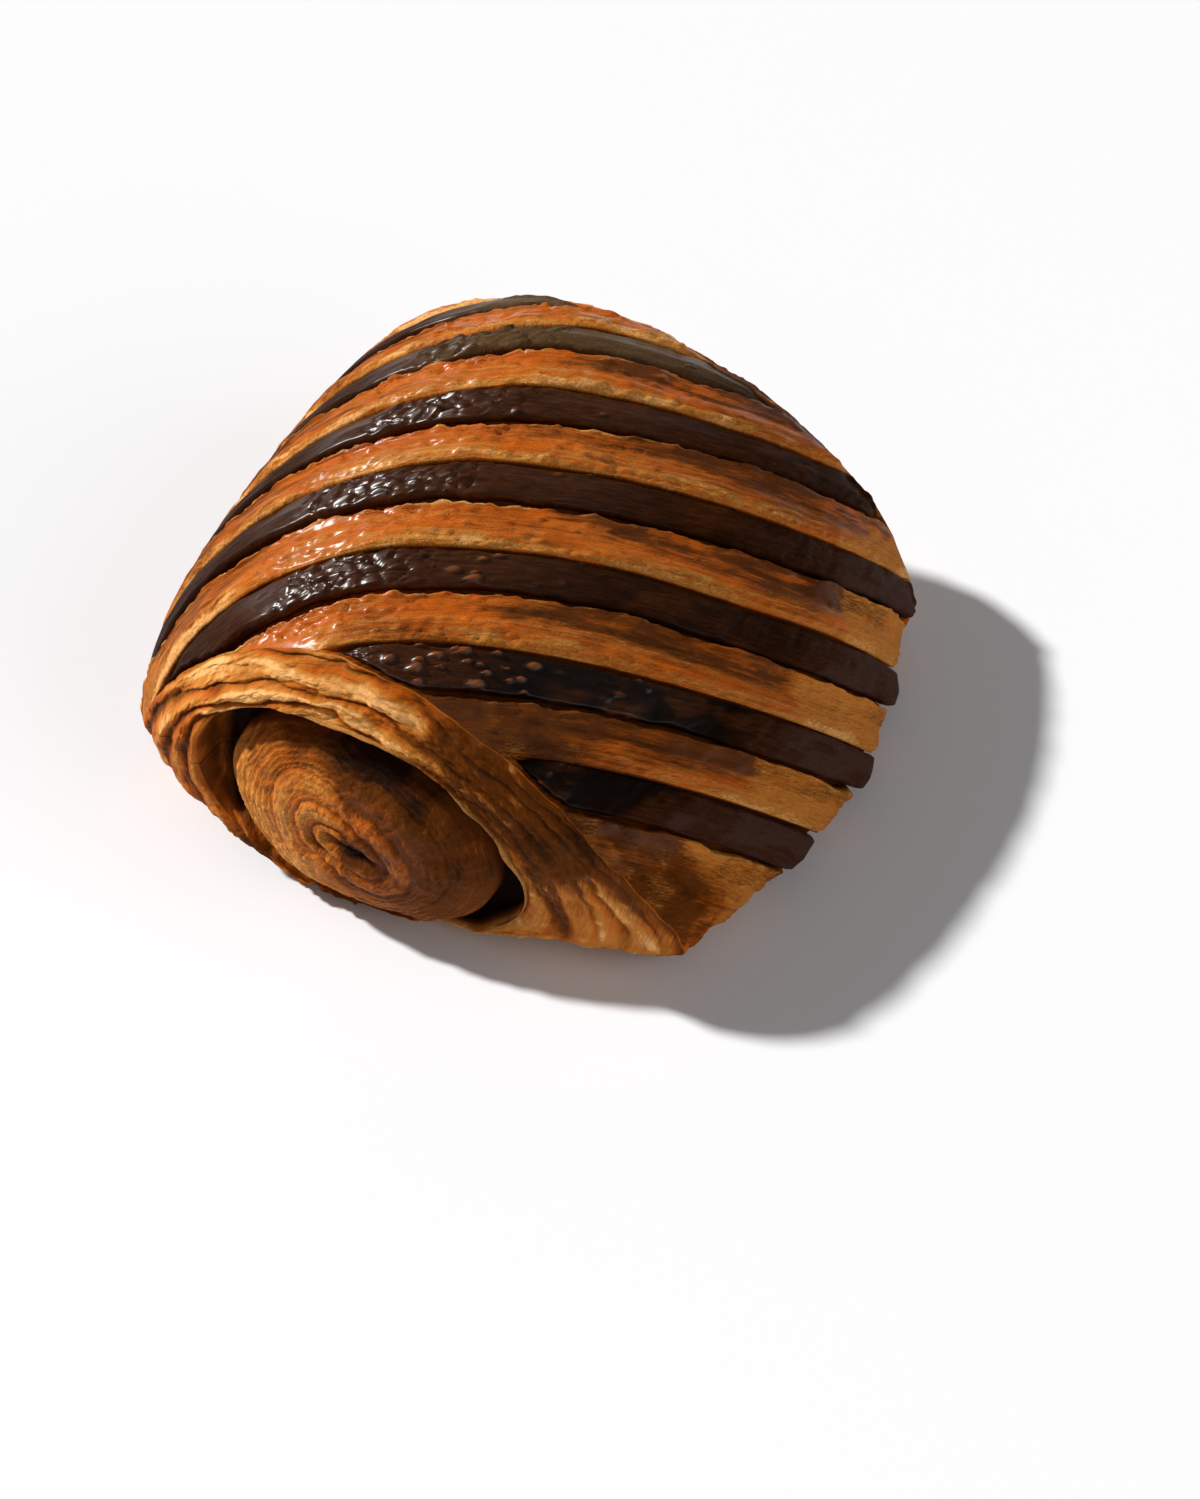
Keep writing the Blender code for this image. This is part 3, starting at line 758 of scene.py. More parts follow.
def roll_ring(plan, share):
    """The inner roll, from its edge at 1 to its middle at 0."""
    distance = share * plan.roll
    x, z = distance * np.cos(plan.direction), distance * np.sin(plan.direction)
    long = x * math.cos(INNER_TILT) + z * math.sin(INNER_TILT)
    wide = z * math.cos(INNER_TILT) - x * math.sin(INNER_TILT)
    narrow = INNER_FLAT + CORE_FLAT * np.exp(-((distance / CORE_REACH) ** 2))
    radius = np.hypot(long, wide * narrow) * INNER_SPREAD
    dome = HALF_LENGTH + ROLL_OUT + ROLL_DOME * (1.0 - share**DOME_POWER)
    lean = ROLL_LEAN * np.sin(plan.direction) * share
    edge = EDGE_ROUND * smooth(0.88, 1.0, share)
    stray = 0.26 * rough(x / 9.0, z / 9.0, seed=121)
    turns = radius / INNER_PITCH + plan.end * plan.direction / (2.0 * math.pi) + stray
    layer = turns - np.floor(turns)
    pillow = 1.0 - np.abs(2.0 * layer**1.7 - 1.0) ** 2.8
    core = 1.0 - smooth(0.46, 0.72, share + 0.1 * wobble(x / 5.0, z / 5.0, seed=123))
    terrace = (turns * LAYERS_A_TURN + 0.35 * rough(x / 7.0, z / 7.0, seed=122)) % 1.0
    fine = terrace**1.4 * (1.0 - smooth(0.86, 1.0, terrace))
    leftward = smooth(-0.2, 0.7, -np.cos(plan.direction))
    shown = 1.0 - smooth(0.93, 1.0, share)
    slit = np.exp(-(((plan.degrees - 222.0) / 42.0) ** 2) - ((radius - 6.6) / 0.9) ** 2)
    hollow = np.exp(-(((long - 1.5) / 5.5) ** 2) - (wide / 1.2) ** 2)
    bumps = 0.24 * core * blisters(x / 1.5, z / 1.5, seed=127, share=0.3)
    relief = (0.2 + 0.3 * core) * (pillow - 0.7) + (0.12 + 0.12 * leftward) * (fine - 0.4)
    soft = 0.24 * rough(x / 4.2, z / 4.2, seed=128) + 0.09 * rough(x / 1.1, z / 1.1, seed=130)
    out = dome - lean - edge + (relief + bumps + soft) * shown - 2.3 * slit - 1.9 * hollow
    # Painted shadow of the lip on the top of the inner roll: browner and less golden there.
    shadowed_top = np.exp(-(((plan.degrees - 88.0) / 56.0) ** 2)) * smooth(0.55, 0.85, share)
    # Darker in the creases between layers and at the foot of each terrace: painted shade.
    shaded_valley = 1.0 - smooth(0.05, 0.6, pillow)
    between = (1.0 - smooth(0.1, 0.9, fine)) * (1.0 - core)
    blotch = rough(x / 5.0, z / 5.0, seed=129)
    # Lighter and more golden on the left, the lamp's side: painted light.
    gold = 0.95 * leftward * (0.6 + 0.45 * fine) * (1.0 - 0.5 * core)
    gold = gold + 0.55 * (1.0 - leftward) * (1.0 - core) * smooth(0.3, 0.9, fine)
    gold = gold + 0.3 * core * smooth(0.7, 1.0, pillow) + 0.15 * blotch
    low = smooth(0.2, 0.9, -np.sin(plan.direction)) * (1.0 - core)
    brown = 0.8 - 0.65 * leftward - 0.4 * low - 0.15 * core + 0.6 * shadowed_top + 0.15 * between
    # Darker in the slit and the hollow: painted shade.
    brown = brown + 0.7 * shaded_valley * (0.1 + 0.4 * core) + 1.1 * slit + 0.9 * hollow - 0.22 * blotch
    gold = np.clip(gold * (1.0 - 0.7 * shadowed_top) + 0.3 * low, 0.0, 1.0)
    return distance, out, gold, np.clip(brown, 0.0, 1.5), 0.02 + 0.25 * core


print("inner roll:", ROLL_RINGS, "rings, a turn every", INNER_PITCH, "mm")

# %% [markdown]
# ## Joining the ends to the crust
# An end starts from the very points where the crust stops, so no gap can open between them. The
# foot of the end closes the loop along the board. The rings are then laid one inside the other, and
# a fan of small faces closes the middle.

# %% Both ends
FOOT_POINTS = 120
RIM_FINISH = (0.3, 0.2, 0.0)
GRAIN_AROUND = 12.0


def make_end(name, loop, plan):
    """One rolled end as a piece, from its closed loop of rim and foot points."""
    end, flat = plan.end, 0.0 * plan.reach
    runs = [
        (wrap_ring, np.linspace(0.0, 1.0, WRAP_RINGS + 1)[1:]),
        (gap_ring, np.linspace(0.0, 1.0, GAP_RINGS + 1)[1:-1]),
        (roll_ring, np.linspace(1.0, 0.0, ROLL_RINGS + 1)[:-1]),
    ]
    rings, finish = [loop], [[flat + look for look in RIM_FINISH]]
    for rule, run in runs:
        for share in run:
            distance, out, *looks = rule(plan, share)
            place = plan.centre + plan.unit * distance[:, None]
            rings.append(np.stack([place[:, 0], end * out, np.maximum(place[:, 1], 0.0)], axis=-1))
            finish.append([flat + look for look in looks])
    points = np.stack(rings)
    middle = np.array([[plan.centre[0], points[-1, :, 1].mean(), plan.centre[1]]])
    ids = loop_ids(points)
    quads = grid_faces(ids if end > 0 else ids[:, ::-1])
    inner, middle_id = ids[-1], points[..., 0].size
    fan = np.stack([inner[:-1], inner[:-1], inner[1:], 0 * inner[1:] + middle_id], axis=-1)
    fan = fan if end < 0 else fan[:, ::-1]
    around = plan.direction[None, :] * GRAIN_AROUND + 0.0 * points[..., 0]
    outward = np.hypot(points[..., 0] - plan.centre[0], points[..., 2] - plan.centre[1])
    grain = np.stack([around, outward, 0.0 * outward], axis=-1).reshape(-1, 3)
    gold, brown, wash = (
        np.append(np.ravel([ring[k] for ring in finish]), finish[-1][k][-1]) for k in range(3)
    )
    return new_piece(
        name, np.concatenate([points.reshape(-1, 3), middle]), np.concatenate([quads, fan]),
        "dough_roll", "baked_dough", gold=gold, brown=brown, wash=wash,
        grain=np.concatenate([grain, grain[-1:]]),
    )


ends, feet, plans = {}, {}, {}
for end, row, name in ((-1, first, "near_end"), (1, last, "far_end")):
    rim_points = crust_points[np.arange(COLUMNS), row]
    feet[end] = foot_line(rim_points[-1], rim_points[0], end, FOOT_POINTS)
    loop = np.concatenate([rim_points, feet[end]])
    plans[end] = EndPlan(loop, end)
    ends[end] = make_end(name, loop, plans[end])

# %% [markdown]
# ## A flake along the lip
# Where the last sheet ends over the gap, its topmost layer has lifted: a pale flake, thinner than
# card, with a wavy edge. It is a ribbon with two sides, curled out of the lip.

# %% Flakes
FLAKE_THICK, FLAKE_ROOT, FLAKE_POINTS, FLAKE_GOLD = 0.24, 1.0, 160, 0.95


def make_flake(name, plan, start, stop, rise, seed):
    """A thin curled ribbon along the lip between two directions, in degrees."""
    order = np.argsort(plan.degrees)
    along = np.linspace(start, stop, FLAKE_POINTS)
    lip, lip_out = (
        np.interp(along, plan.degrees[order], values[order]) for values in (plan.lip, plan.lip_out)
    )
    fade = np.sin(np.pi * np.linspace(0.0, 1.0, along.size)) ** 0.4
    tall = rise * fade * (0.8 + 0.3 * rough(along / 14.0, seed=seed, octaves=2))
    lean = 0.45 + 0.35 * wobble(along / 16.0, seed=seed + 1)
    steps = np.linspace(0.0, 1.0, 7)
    inner = [
        (lip - lean * tall * s**1.6, lip_out - FLAKE_ROOT + (tall + FLAKE_ROOT) * s) for s in steps
    ]
    outer = [(reach + FLAKE_THICK * (1.0 - 0.5 * s), out) for (reach, out), s in zip(inner, steps)]
    rings = inner + outer[::-1]
    direction = np.radians(along)
    unit = np.stack([np.cos(direction), np.sin(direction)], axis=-1)
    unit *= np.array(SWIRL_SCALE[plan.end])
    unit /= np.linalg.norm(unit, axis=-1, keepdims=True)
    points = np.stack([
        np.stack([
            plan.centre[0] + unit[:, 0] * reach,
            plan.end * out,
            plan.centre[1] + unit[:, 1] * reach,
        ], axis=-1)
        for reach, out in rings
    ], axis=1)
    points[..., 2] = np.maximum(points[..., 2], 0.0)
    quads = grid_faces(loop_ids(points))
    count, size = points.shape[:2]
    flat = np.zeros(count * size)
    grain = np.stack([np.repeat(along / 4.0, size), np.tile(np.arange(size), count), flat], axis=-1)
    return new_piece(
        name, points.reshape(-1, 3), quads if plan.end < 0 else quads[:, ::-1],
        "dough_roll", "baked_dough",
        gold=flat + FLAKE_GOLD, brown=flat + 0.1, wash=flat + 0.1, grain=grain,
    )


flakes = [
    make_flake("near_flake", plans[-1], -36.0, 48.0, rise=1.25, seed=171),
    make_flake("near_small_flake", plans[-1], 60.0, 118.0, rise=0.7, seed=173),
    make_flake("far_flake", plans[1], -30.0, 30.0, rise=0.9, seed=175),
]

# %% [markdown]
# ## The cocoa strips
# Each strip is a cushion of dark dough, highest just in front of its middle, and set down into the
# channel of the crust. Its section is drawn once, as shares of the width and heights in
# millimetres, from under the front edge over the top to under the back edge.

# %% Strip sections
TOP_POINTS = 26
strip_outline = [(0.05, -0.2), (0.02, 0.5), (0.025, 1.0), (0.05, 1.42)]
strip_outline += [(share, None) for share in np.linspace(0.09, 0.955, TOP_POINTS)]
strip_outline += [(0.985, 0.9), (1.0, 0.5), (0.985, -0.2), (0.5, -0.2)]
STRIP_SHARES = np.array([share for share, _ in strip_outline])
TOP_PLACES, TOP_THICK = (0.0, 0.09, 0.45, 0.9, 1.0), (1.55, 1.66, 1.85, 1.32, 1.1)
STRIP_THICK = np.array([
    np.interp(share, TOP_PLACES, TOP_THICK) if thick is None else thick
    for share, thick in strip_outline
])
ON_TOP = np.array([thick is None for _, thick in strip_outline])
print("a strip's section:", len(strip_outline), "points, up to", STRIP_THICK.max(), "mm thick")

# %% [markdown]
# ## Wrinkles and blisters
# Near the ridge the wash was thick. It set into small tilted plates that glint one by one. Towards
# the near right corner it boiled into round blisters instead, and low on the right flank, where the
# cocoa dough is dry, it is only puckered and pitted.

# %% A strip's skin


def strip_skin(girth, offset, number):
    """The height of a strip's wrinkles and blisters, and how blistered each point is."""
    by_end = near_corner(number) * (1.0 - smooth(108.0, 122.0, girth))
    lively = np.maximum(bubbly(girth - 4.0), by_end)
    lively = lively * smooth(-0.7, 0.1, wobble(girth / 13.0, number * 9.0, seed=151))
    bend = 0.5 * wobble(girth / 5.0, offset / 3.0, seed=132)
    glossy = smooth(0.2, 0.7, lively) * (1.0 - smooth(72.0, 80.0, girth))
    wrinkles = 0.34 * plates(girth / 2.6 + bend, offset / 1.7 + bend, seed=133)
    wrinkles = glossy * (0.1 + wrinkles)
    wrinkles = wrinkles + 0.16 * glossy * rough(girth / 4.0, offset / 2.6, seed=134, octaves=2)
    bumps = blisters(girth / 3.2, offset / 2.3, seed=135, share=0.12 + 0.6 * by_end)
    small = blisters(girth / 1.5, offset / 1.1, seed=137, share=0.2)
    bumps, small = (blister * (1.0 - 0.7 * glossy) for blister in (bumps, small))
    pits = blisters(girth / 1.6, offset / 1.9, seed=139, share=0.3) * smooth(104.0, 124.0, girth)
    soft = 0.12 * rough(girth / 6.0, offset / 3.0, seed=141, octaves=2)
    puckered = window(girth, 98.0, 112.0, 136.0, 146.0)
    soft = soft + 0.2 * puckered * rough(girth / 1.7, offset / 4.5, seed=143, octaves=2)
    raised_skin = ((0.6 + 0.3 * by_end) * bumps + 0.15 * small) * lively
    height = soft + wrinkles + raised_skin - 0.14 * pits
    return height, np.clip(bumps + 0.6 * small, 0.0, 1.0) * lively


trial, _ = strip_skin(np.linspace(40.0, 90.0, 200), 0.0, 4.0)
print("the skin's height changes by", round(float(np.ptp(trial)), 2), "mm along the ridge")

# %% [markdown]
# ## One strip after another
# A strip is a tube: one loop of points round its section at every girth that it crosses. It stops
# short of the rims and above the board, and rounds off and thins over its last millimetres, so that
# its ends melt into the dough.

# %% The strips
STRIP_STEP, RIM_CLEAR, STOPS_AT = 0.42, 0.7, 3.6
ROUND_LENGTH, THIN_LENGTH = 3.8, 2.4
SEAT, CHANNEL_DEEP = 0.3, 1.2


def make_strip(number):
    """One strip of cocoa dough as a piece."""
    shift = (STRIP_AT_FOOT - number) * STRIP_PERIOD
    line = np.arange(ARC[0], ARC[-1], STRIP_STEP)
    middle = strip_line(line) + shift + wander(line, shift)
    front = np.maximum(-HALF_STRIP, rim(line, -1) + RIM_CLEAR - middle)
    back = np.minimum(HALF_STRIP, rim(line, 1) - RIM_CLEAR - middle)
    clear = skin(line, middle)[:, 2] > STOPS_AT
    here = clear & (back - front > 0.3)
    line, middle, front, back = line[here], middle[here], front[here], back[here]
    girth = line[:, None] + 0.0 * STRIP_SHARES[None, :]
    end_taper = np.minimum(line - line[0], line[-1] - line)
    round_end = np.sqrt(1.0 - (1.0 - np.clip(end_taper / ROUND_LENGTH, 0.03, 1.0)) ** 2)
    front, back = (
        0.5 * (front + back) - 0.5 * (back - front) * round_end * side for side in (1.0, -1.0)
    )
    wide = (back - front)[:, None]
    offset = shift + front[:, None] + wide * STRIP_SHARES[None, :]
    edge_wave = 0.2 * rough(girth / 4.0, STRIP_SHARES[None, :] * 2.0 + number * 5.0, seed=151)
    y = (middle + front)[:, None] + wide * STRIP_SHARES[None, :] + edge_wave
    full = np.minimum(1.0, wide / HALF_STRIP) * (1.0 + 0.2 * smooth(128.0, 150.0, girth))
    full = full * (0.45 + 0.55 * smooth(0.0, THIN_LENGTH, end_taper))[:, None]
    bumps, blistered = strip_skin(girth, offset, float(number))
    thick = STRIP_THICK[None, :] + bumps * ON_TOP[None, :]
    points = raised(girth, y, SEAT - CHANNEL_DEEP * opened(girth, y) + thick * full)
    ids = loop_ids(points)
    quads, caps = grid_faces(ids), []
    for ring, order in ((ids[0], 1), (ids[-1], -1)):
        for i in range(1, STRIP_SHARES.size - 1):
            cap = [ring[0], ring[i], ring[i + 1], ring[i + 1]]
            caps.append(cap[::-1] if order > 0 else cap)
    wash = washed(girth, y)
    missed = (1.0 - wash) * smooth(-0.4, 0.3, rough(girth / 5.0, offset / 3.0, seed=155))
    # Where the brush missed, the cocoa is dull and grey; on the right flank that grey is partly a
    # painted sheen of the pale floor at a grazing angle.
    dull = (0.3 * (1.0 - wash) + 0.7 * missed) * smooth(60.0, 110.0, girth)
    # The first two strips' tops are painted a lighter olive grey: a painted sheen of the bright
    # background at a grazing angle.
    faded = (1.0 - smooth(1.5, 2.9, number)) * smooth(40.0, 62.0, girth)
    faded = faded * (1.0 - smooth(84.0, 112.0, girth)) * (0.8 + 0.4 * wobble(girth / 3.0, offset))
    burnt = (0.35 + 0.65 * near_corner(number)) * window(girth, 84.0, 98.0, 124.0, 134.0) * wash
    burnt = burnt * smooth(-0.8, -0.1, rough(girth / 7.0, offset / 4.0, seed=157))
    burnt = burnt + 0.45 * (1.0 - smooth(30.0, 54.0, girth))
    by_corner = near_corner(number) * (1.0 - smooth(112.0, 126.0, girth))
    by_corner = by_corner * (0.8 - 0.5 * smooth(6.2, 7.0, number))
    shine = wash * (1.0 - faded) * (0.03 + 0.97 * np.maximum(bubbly(girth), by_corner))
    return new_piece(
        f"cocoa_strip_{number}_skin", points.reshape(-1, 3), np.concatenate([quads, caps]),
        f"cocoa_strip_{number}", "cocoa_dough",
        blistered=blistered.ravel(), wash=shine.ravel(), dull=dull.ravel(),
        faded=faded.ravel(), burnt=burnt.ravel(),
        grain=np.stack([girth, offset, 0.0 * girth], axis=-1).reshape(-1, 3),
    )


strips = [make_strip(number) for number in STRIPS]

# %% [markdown]
# ## The underside
# Nobody sees it on a table, but the piece is judged from all sides. The tray pressed it flat, and
# the end of the last sheet leaves a shallow seam along it. It is a grid from the left foot to the
# right foot, with the seam and a few dents pushed up into the dough.

# %% Underside
left_foot = crust_points[0, first[0] : last[0] + 1]
right_foot = crust_points[-1, first[-1] : last[-1] + 1]
ROWS_UNDER, COLUMNS_UNDER = 150, FOOT_POINTS + 2
SEAM_AT, SEAM_HALF, SEAM_DEEP, DENT_DEEP, SHEET_STEP = 14.0, 0.7, 1.3, 0.5, 0.35


def resample(line, count):
    """The same number of points along any line, evenly spread."""
    run = np.concatenate(([0.0], np.cumsum(np.linalg.norm(np.diff(line, axis=0), axis=1))))
    at = np.linspace(0.0, run[-1], count)
    return np.stack([np.interp(at, run, line[:, axis]) for axis in range(3)], axis=-1)


left_edge, right_edge = resample(left_foot, ROWS_UNDER), resample(right_foot, ROWS_UNDER)
near_edge = np.concatenate([left_edge[:1], feet[-1][::-1], right_edge[:1]])
far_edge = np.concatenate([left_edge[-1:], feet[1][::-1], right_edge[-1:]])
u = np.linspace(0.0, 1.0, COLUMNS_UNDER)[:, None, None]
v = np.linspace(0.0, 1.0, ROWS_UNDER)[None, :, None]
corners = (
    left_edge[0] * (1 - u) * (1 - v) + right_edge[0] * u * (1 - v)
    + left_edge[-1] * (1 - u) * v + right_edge[-1] * u * v
)
under = (
    left_edge[None] * (1 - u) + right_edge[None] * u
    + near_edge[:, None] * (1 - v) + far_edge[:, None] * v - corners
)
inset = np.minimum(np.minimum(u, 1 - u), np.minimum(v, 1 - v))[..., 0]
inside = smooth(0.0, 0.05, inset)
seam_at = SEAM_AT + 1.2 * wobble(under[..., 1] / 14.0, seed=161)
seam = np.exp(-(((under[..., 0] - seam_at) / SEAM_HALF) ** 2))
dents = smooth(0.1, 0.9, rough(under[..., 0] / 9.0, under[..., 1] / 9.0, seed=162))
step = SHEET_STEP * smooth(0.0, 1.6, under[..., 0] - seam_at)
under[..., 2] = inside * (SEAM_DEEP * seam + DENT_DEEP * dents + step)
under_ids = np.arange(under[..., 0].size).reshape(under.shape[:2])
underside = new_piece(
    "underside", under.reshape(-1, 3), grid_faces(under_ids[:, ::-1]), "dough_roll", "baked_dough",
    gold=(0.4 - 0.25 * dents).ravel(), brown=(0.3 + 0.6 * seam).ravel(),
    wash=0.0 * under[..., 0].ravel(), grain=under.reshape(-1, 3),
)

# %% [markdown]
# ## Writing shader maths
# A material is a graph of nodes, but a formula is easier to read than a graph. This class wraps one
# socket, so that an expression such as 1 - mask adds the Math node that works it out.

# %% The shader class
FACTOR_IN, COLOUR_A, COLOUR_B, COLOUR_OUT = 0, 6, 7, 2


class Wire:
    """A node's output socket that can be used in arithmetic."""

    def __init__(self, paint, socket):
        self.paint, self.socket = paint, socket

    def _math(self, operation, *values):
        return self.paint.node("ShaderNodeMath", {"operation": operation}, dict(enumerate(values)))

    def __add__(self, other):
        return self._math("ADD", self, other)

    def __sub__(self, other):
        return self._math("SUBTRACT", self, other)

    def __rsub__(self, other):
        return self._math("SUBTRACT", other, self)

    def __mul__(self, other):
        return self._math("MULTIPLY", self, other)

    __radd__, __rmul__ = __add__, __mul__

    def between(self, low, high):
        """0 below low, 1 above high, and a smooth run between."""
        settings = {"interpolation_type": "SMOOTHSTEP"}
        sockets = {"Value": self, "From Min": low, "From Max": high}
        return self.paint.node("ShaderNodeMapRange", settings, sockets)


class Paint:
    """A new material, its node tree and its Principled shader."""

    def __init__(self, name):
        self.material = bpy.data.materials.new(name)
        self.material.use_nodes = True
        self.tree = self.material.node_tree
        self.shader = self.tree.nodes["Principled BSDF"]

    def node(self, kind, settings=None, sockets=None, output=0):
        """Adds a node: its settings first, then the values or links of its sockets."""
        made = self.tree.nodes.new(kind)
        for key, value in (settings or {}).items():
            setattr(made, key, value)
        for key, value in (sockets or {}).items():
            self.feed(made.inputs[key], value)
        return Wire(self, made.outputs[output])

    def feed(self, socket, value):
        """Sets a socket to a number or a colour, or links a wire to it."""
        if isinstance(value, Wire):
            self.tree.links.new(value.socket, socket)
        else:
            socket.default_value = value

    def field(self, name, output="Fac"):
        """A field of values that the mesh carries on its points."""
        return self.node("ShaderNodeAttribute", {"attribute_name": name}, output=output)

    def mix(self, factor, first, second):
        """A colour between two colours."""
        sockets = {FACTOR_IN: factor, COLOUR_A: first, COLOUR_B: second}
        return self.node("ShaderNodeMix", {"data_type": "RGBA"}, sockets, output=COLOUR_OUT)

    def noise(self, place, scale, detail=3.0, roughness=0.55):
        """A noise texture at a place, with so many waves to the unit."""
        sockets = {"Vector": place, "Scale": scale, "Detail": detail, "Roughness": roughness}
        return self.node("ShaderNodeTexNoise", {}, sockets)

    def stretched(self, place, scale):
        """A place scaled by a different amount along each axis."""
        return self.node("ShaderNodeVectorMath", {"operation": "MULTIPLY"}, {0: place, 1: scale})

    def bump(self, height, distance, under=None):
        """A Bump node over a height, laid over another one's normal if given."""
        sockets = {"Height": height, "Distance": distance, "Strength": 1.0}
        if under is not None:
            sockets["Normal"] = under
        return self.node("ShaderNodeBump", {}, sockets)

    def surface(self, **sockets):
        """Feeds sockets of the shader, which are named with _ for each space."""
        for name, value in sockets.items():
            self.feed(self.shader.inputs[name.replace("_", " ")], value)


def colour(red, green, blue):
    """A colour with full alpha."""
    return (red, green, blue, 1.0)


print("a paint can:", [name for name in vars(Paint) if not name.startswith("_")])

# %% [markdown]
# ## Baked dough
# The crust is three tones: a deep brown where the oven caught it, an orange-brown where the egg
# wash lies, and a pale gold where layers tore open. The deep brown, and a near black past it, also
# stand for painted shade in grooves, creases and gaps, and some of the pale gold for painted
# highlight on lips and crests. Streaks along the strips break all of them up.
# The egg wash is a clear coat, thick in places and missing in others, so its shine is broken.

# %% Dough finish
PALE, GOLD = colour(0.82, 0.41, 0.14), colour(0.52, 0.20, 0.033)
ORANGE, DEEP = colour(0.53, 0.106, 0.005), colour(0.12, 0.029, 0.002)
CHAR_AND_SHADE = colour(0.016, 0.004, 0.001)
WARM_SHINE = colour(1.0, 0.80, 0.58)
GRAIN_DEEP = 0.0006


def dough_finish(name, streak, contrast):
    """The baked dough's material: how its grain is stretched, and how uneven its browning is."""
    paint = Paint(name)
    place = paint.field("grain", "Vector")
    gold, brown, wash = (paint.field(field) for field in ("gold", "brown", "wash"))
    long = paint.noise(paint.stretched(place, streak), 1.0, 5.0, 0.65)
    fibre = paint.noise(paint.stretched(place, (0.5, 3.6, 0.0)), 1.0, 3.0, 0.6)
    patch = paint.noise(paint.stretched(place, (0.09, 0.22, 0.0)), 1.0, 3.0, 0.55)
    pores = paint.noise(place, 2.2, 3.0, 0.6)
    uneven = (patch - 0.5) * 1.5 + (long - 0.5) * 1.7 + (fibre - 0.5) * 0.7
    toasted = (brown + uneven * contrast + 0.1).between(0.0, 1.0)
    base = paint.mix(toasted, ORANGE, DEEP)
    speckled = (fibre - 0.5) * 1.5 + (pores - 0.5) * 0.9
    golden = (gold + speckled * contrast - brown * 0.4).between(0.0, 0.9)
    base = paint.mix(golden, base, GOLD)
    base = paint.mix((gold + (pores - 0.5) * 1.0 - 0.3).between(0.45, 1.0), base, PALE)
    # Near black past a brown of 0.95: real char in places, but mostly painted shade in grooves,
    # creases, gaps, the slit and the hollow.
    base = paint.mix((brown + (patch - 0.5) * 0.5 - 0.95).between(0.0, 0.6), base, CHAR_AND_SHADE)
    glaze = wash * (patch.between(0.3, 0.6) * 0.4 + 0.6)
    paint.surface(
        Base_Color=base, Roughness=0.7 - 0.2 * wash + (pores - 0.5) * 0.2,
        Coat_Weight=glaze * 0.8, Coat_Roughness=0.27, Coat_IOR=1.4,
        Specular_IOR_Level=0.08, Specular_Tint=WARM_SHINE,
    )
    broad = paint.noise(paint.stretched(place, (0.45, 0.9, 0.0)), 1.0, 3.0, 0.6)
    lines = paint.bump(long * 0.7 + fibre * 0.3, GRAIN_DEEP * contrast**2)
    rough_grain = (broad + pores * 0.35) * (1.0 - 0.55 * wash)
    paint.surface(Normal=paint.bump(rough_grain, GRAIN_DEEP, lines))
    return paint.material


crust_finish = dough_finish("baked_crust", (0.13, 1.5, 0.0), 1.1)
end_finish = dough_finish("baked_layers", (0.3, 1.3, 0.0), 0.6)
crust.data.materials.append(crust_finish)
underside.data.materials.append(end_finish)
for piece in [*ends.values(), *flakes]:
    piece.data.materials.append(end_finish)
print("dough finishes:", crust_finish.name, end_finish.name)

# %% [markdown]
# ## Cocoa dough
# Cocoa dough bakes almost black. Wash makes it shine near the ridge, its blisters are scorched a
# warmer brown, and where the brush missed it, it is dull and a little grey, like dry cocoa. Down the
# right flank that grey is also a painted sheen of the pale floor at a grazing angle, and the lighter
# olive grey on the first two strips near the top is a painted sheen of the bright background.

# %% Cocoa finish
COCOA_DARK, COCOA = colour(0.025, 0.006, 0.001), colour(0.055, 0.015, 0.003)
COCOA_BURNT, COCOA_BLISTER = colour(0.006, 0.002, 0.001), colour(0.20, 0.06, 0.02)
COCOA_DULL_AND_SHEEN, COCOA_SHEEN = colour(0.056, 0.026, 0.020), colour(0.125, 0.078, 0.032)
cocoa = Paint("cocoa_crust")
place = cocoa.field("grain", "Vector")
blistered, wash, dull, faded, burnt = (
    cocoa.field(field) for field in ("blistered", "wash", "dull", "faded", "burnt")
)
long = cocoa.noise(cocoa.stretched(place, (0.3, 1.6, 0.0)), 1.0, 4.0, 0.6)
pores = cocoa.noise(place, 1.7, 4.0, 0.65)
dusty = pores.between(0.3, 0.7) * 0.4 + 0.6
base = cocoa.mix(long.between(0.35, 0.7), COCOA_DARK, COCOA)
base = cocoa.mix(burnt, base, COCOA_BURNT)
base = cocoa.mix((blistered * 1.2 - 0.3).between(0.0, 0.9), base, COCOA_BLISTER)
# Dull grey where the wash is missing, partly a painted sheen on the right flank.
base = cocoa.mix(dull * dusty, base, COCOA_DULL_AND_SHEEN)
# Painted sheen: the lighter olive grey on the first two strips' tops.
base = cocoa.mix(faded * dusty, base, COCOA_SHEEN)
cocoa.surface(
    Base_Color=base, Roughness=0.55 + dull * 0.15 - wash * 0.15,
    Coat_Weight=wash * 0.9, Coat_Roughness=0.29, Coat_IOR=1.42,
    Specular_IOR_Level=0.03, Specular_Tint=WARM_SHINE,
)
broad = cocoa.noise(cocoa.stretched(place, (0.3, 0.85, 0.0)), 1.0, 3.0, 0.55)
grainy = cocoa.bump(pores * (1.0 - 0.6 * wash), 0.0003)
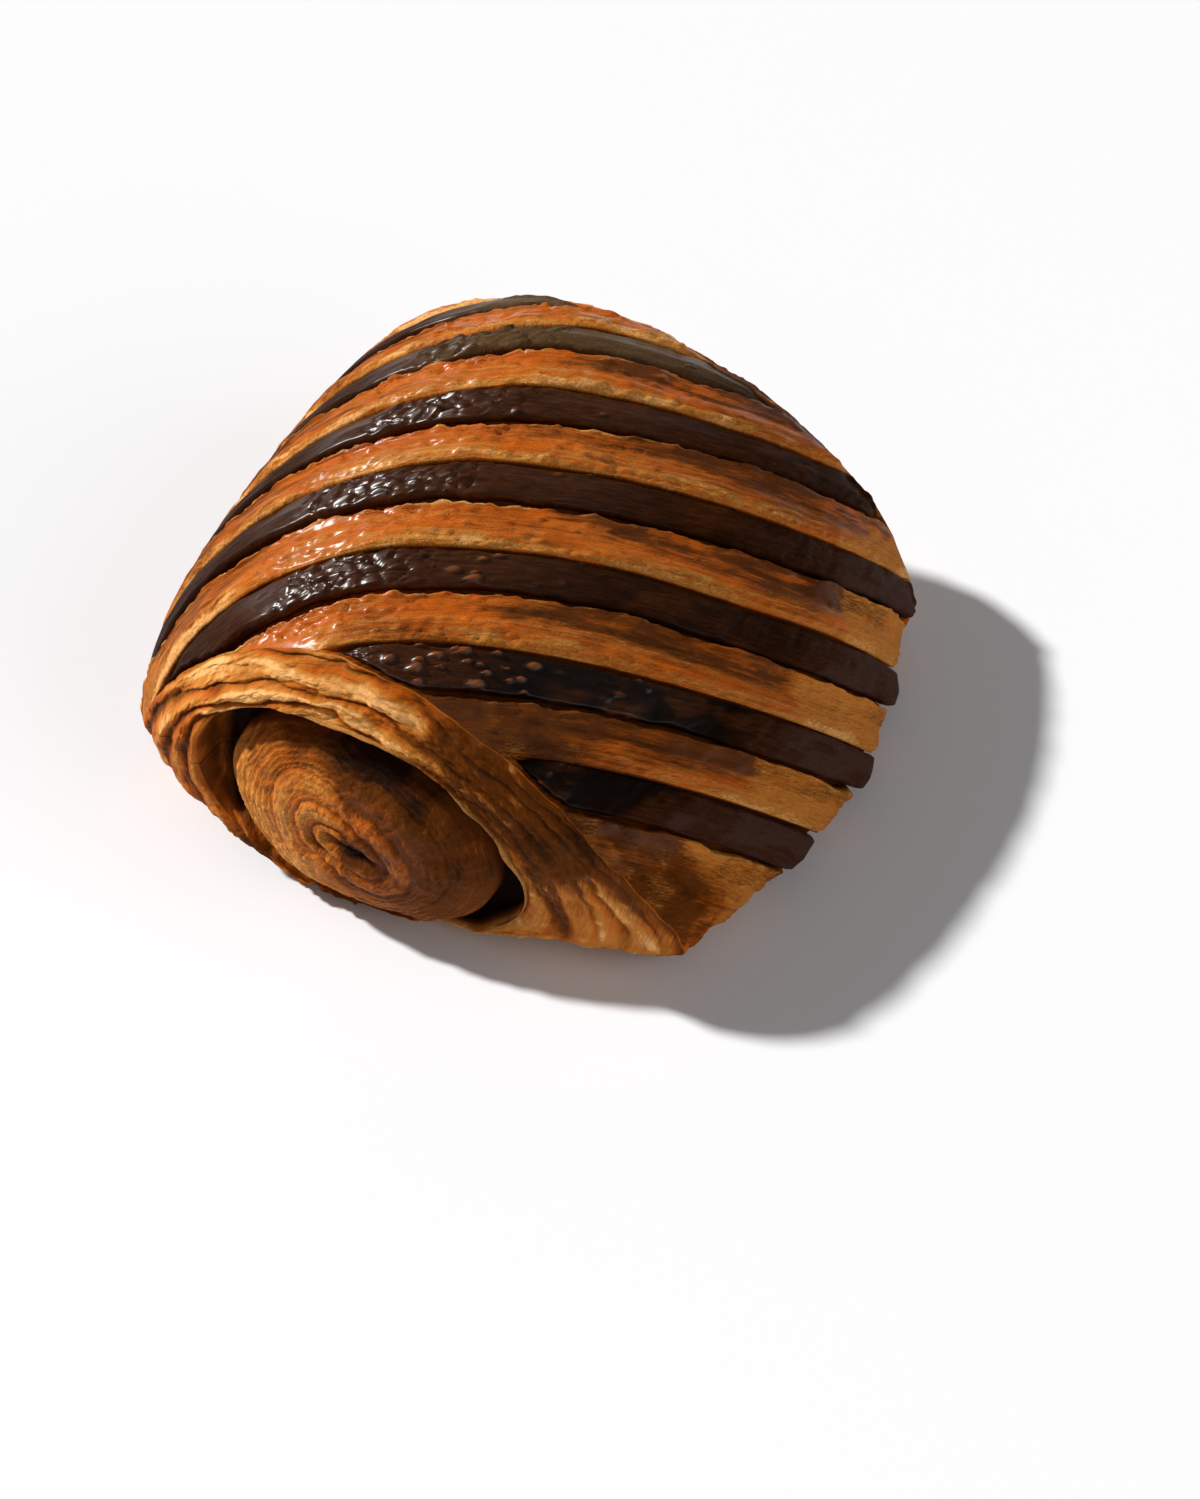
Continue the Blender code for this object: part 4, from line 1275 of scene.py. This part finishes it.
cocoa.surface(Normal=cocoa.bump(broad, 0.0005, grainy))
for piece in strips:
    piece.data.materials.append(cocoa.material)
print("cocoa finish on", len(strips), "strips")

# %% [markdown]
# ## Floor and light
# A wide pale floor, one low lamp from the left for the long shadow to the right, a broad weak one
# from the right and a pale sky to fill it. The lamp's direction was read from the shadow's outline.
# The plain view transform keeps the deep, warm contrast of baked dough, which the filmic one would
# wash out.

# %% Floor, lamp and sky
LAMP_FALL, FILL_FALL = (1.215, 0.118, -1.0), (-0.93, 0.06, -0.36)
LAMP_POWER, FILL_POWER, SKY_POWER = 4.7, 1.15, 0.13
LAMP_SPREAD, FILL_SPREAD, FLOOR_SIZE = 3.5, 55.0, 6.0
bpy.ops.mesh.primitive_plane_add(size=FLOOR_SIZE)
floor = bpy.context.object
floor.name = "floor"
floor_paint = Paint("floor_white")
floor_paint.surface(Base_Color=colour(0.83, 0.835, 0.855), Roughness=0.6)
floor.data.materials.append(floor_paint.material)


def sun(name, fall, power, spread):
    """A lamp far away, whose light falls along a direction and spreads by so many degrees."""
    data = bpy.data.lights.new(name, "SUN")
    data.energy, data.angle = power, math.radians(spread)
    made = bpy.data.objects.new(name, data)
    made.rotation_euler = Vector(fall).to_track_quat("-Z", "Y").to_euler()
    bpy.context.scene.collection.objects.link(made)
    return made


sun("lamp", LAMP_FALL, LAMP_POWER, LAMP_SPREAD).data.color = (1.0, 0.99, 0.98)
sun("fill", FILL_FALL, FILL_POWER, FILL_SPREAD).visible_glossy = False

sky = bpy.data.worlds.new("sky")
sky.use_nodes = True
background = sky.node_tree.nodes["Background"]
background.inputs["Color"].default_value = colour(1.0, 0.98, 0.96)
background.inputs["Strength"].default_value = SKY_POWER
bpy.context.scene.world = sky

bpy.context.scene.view_settings.view_transform = "Standard"
print("lamp falls along", [round(v, 2) for v in Vector(LAMP_FALL).normalized()])

# %% [markdown]
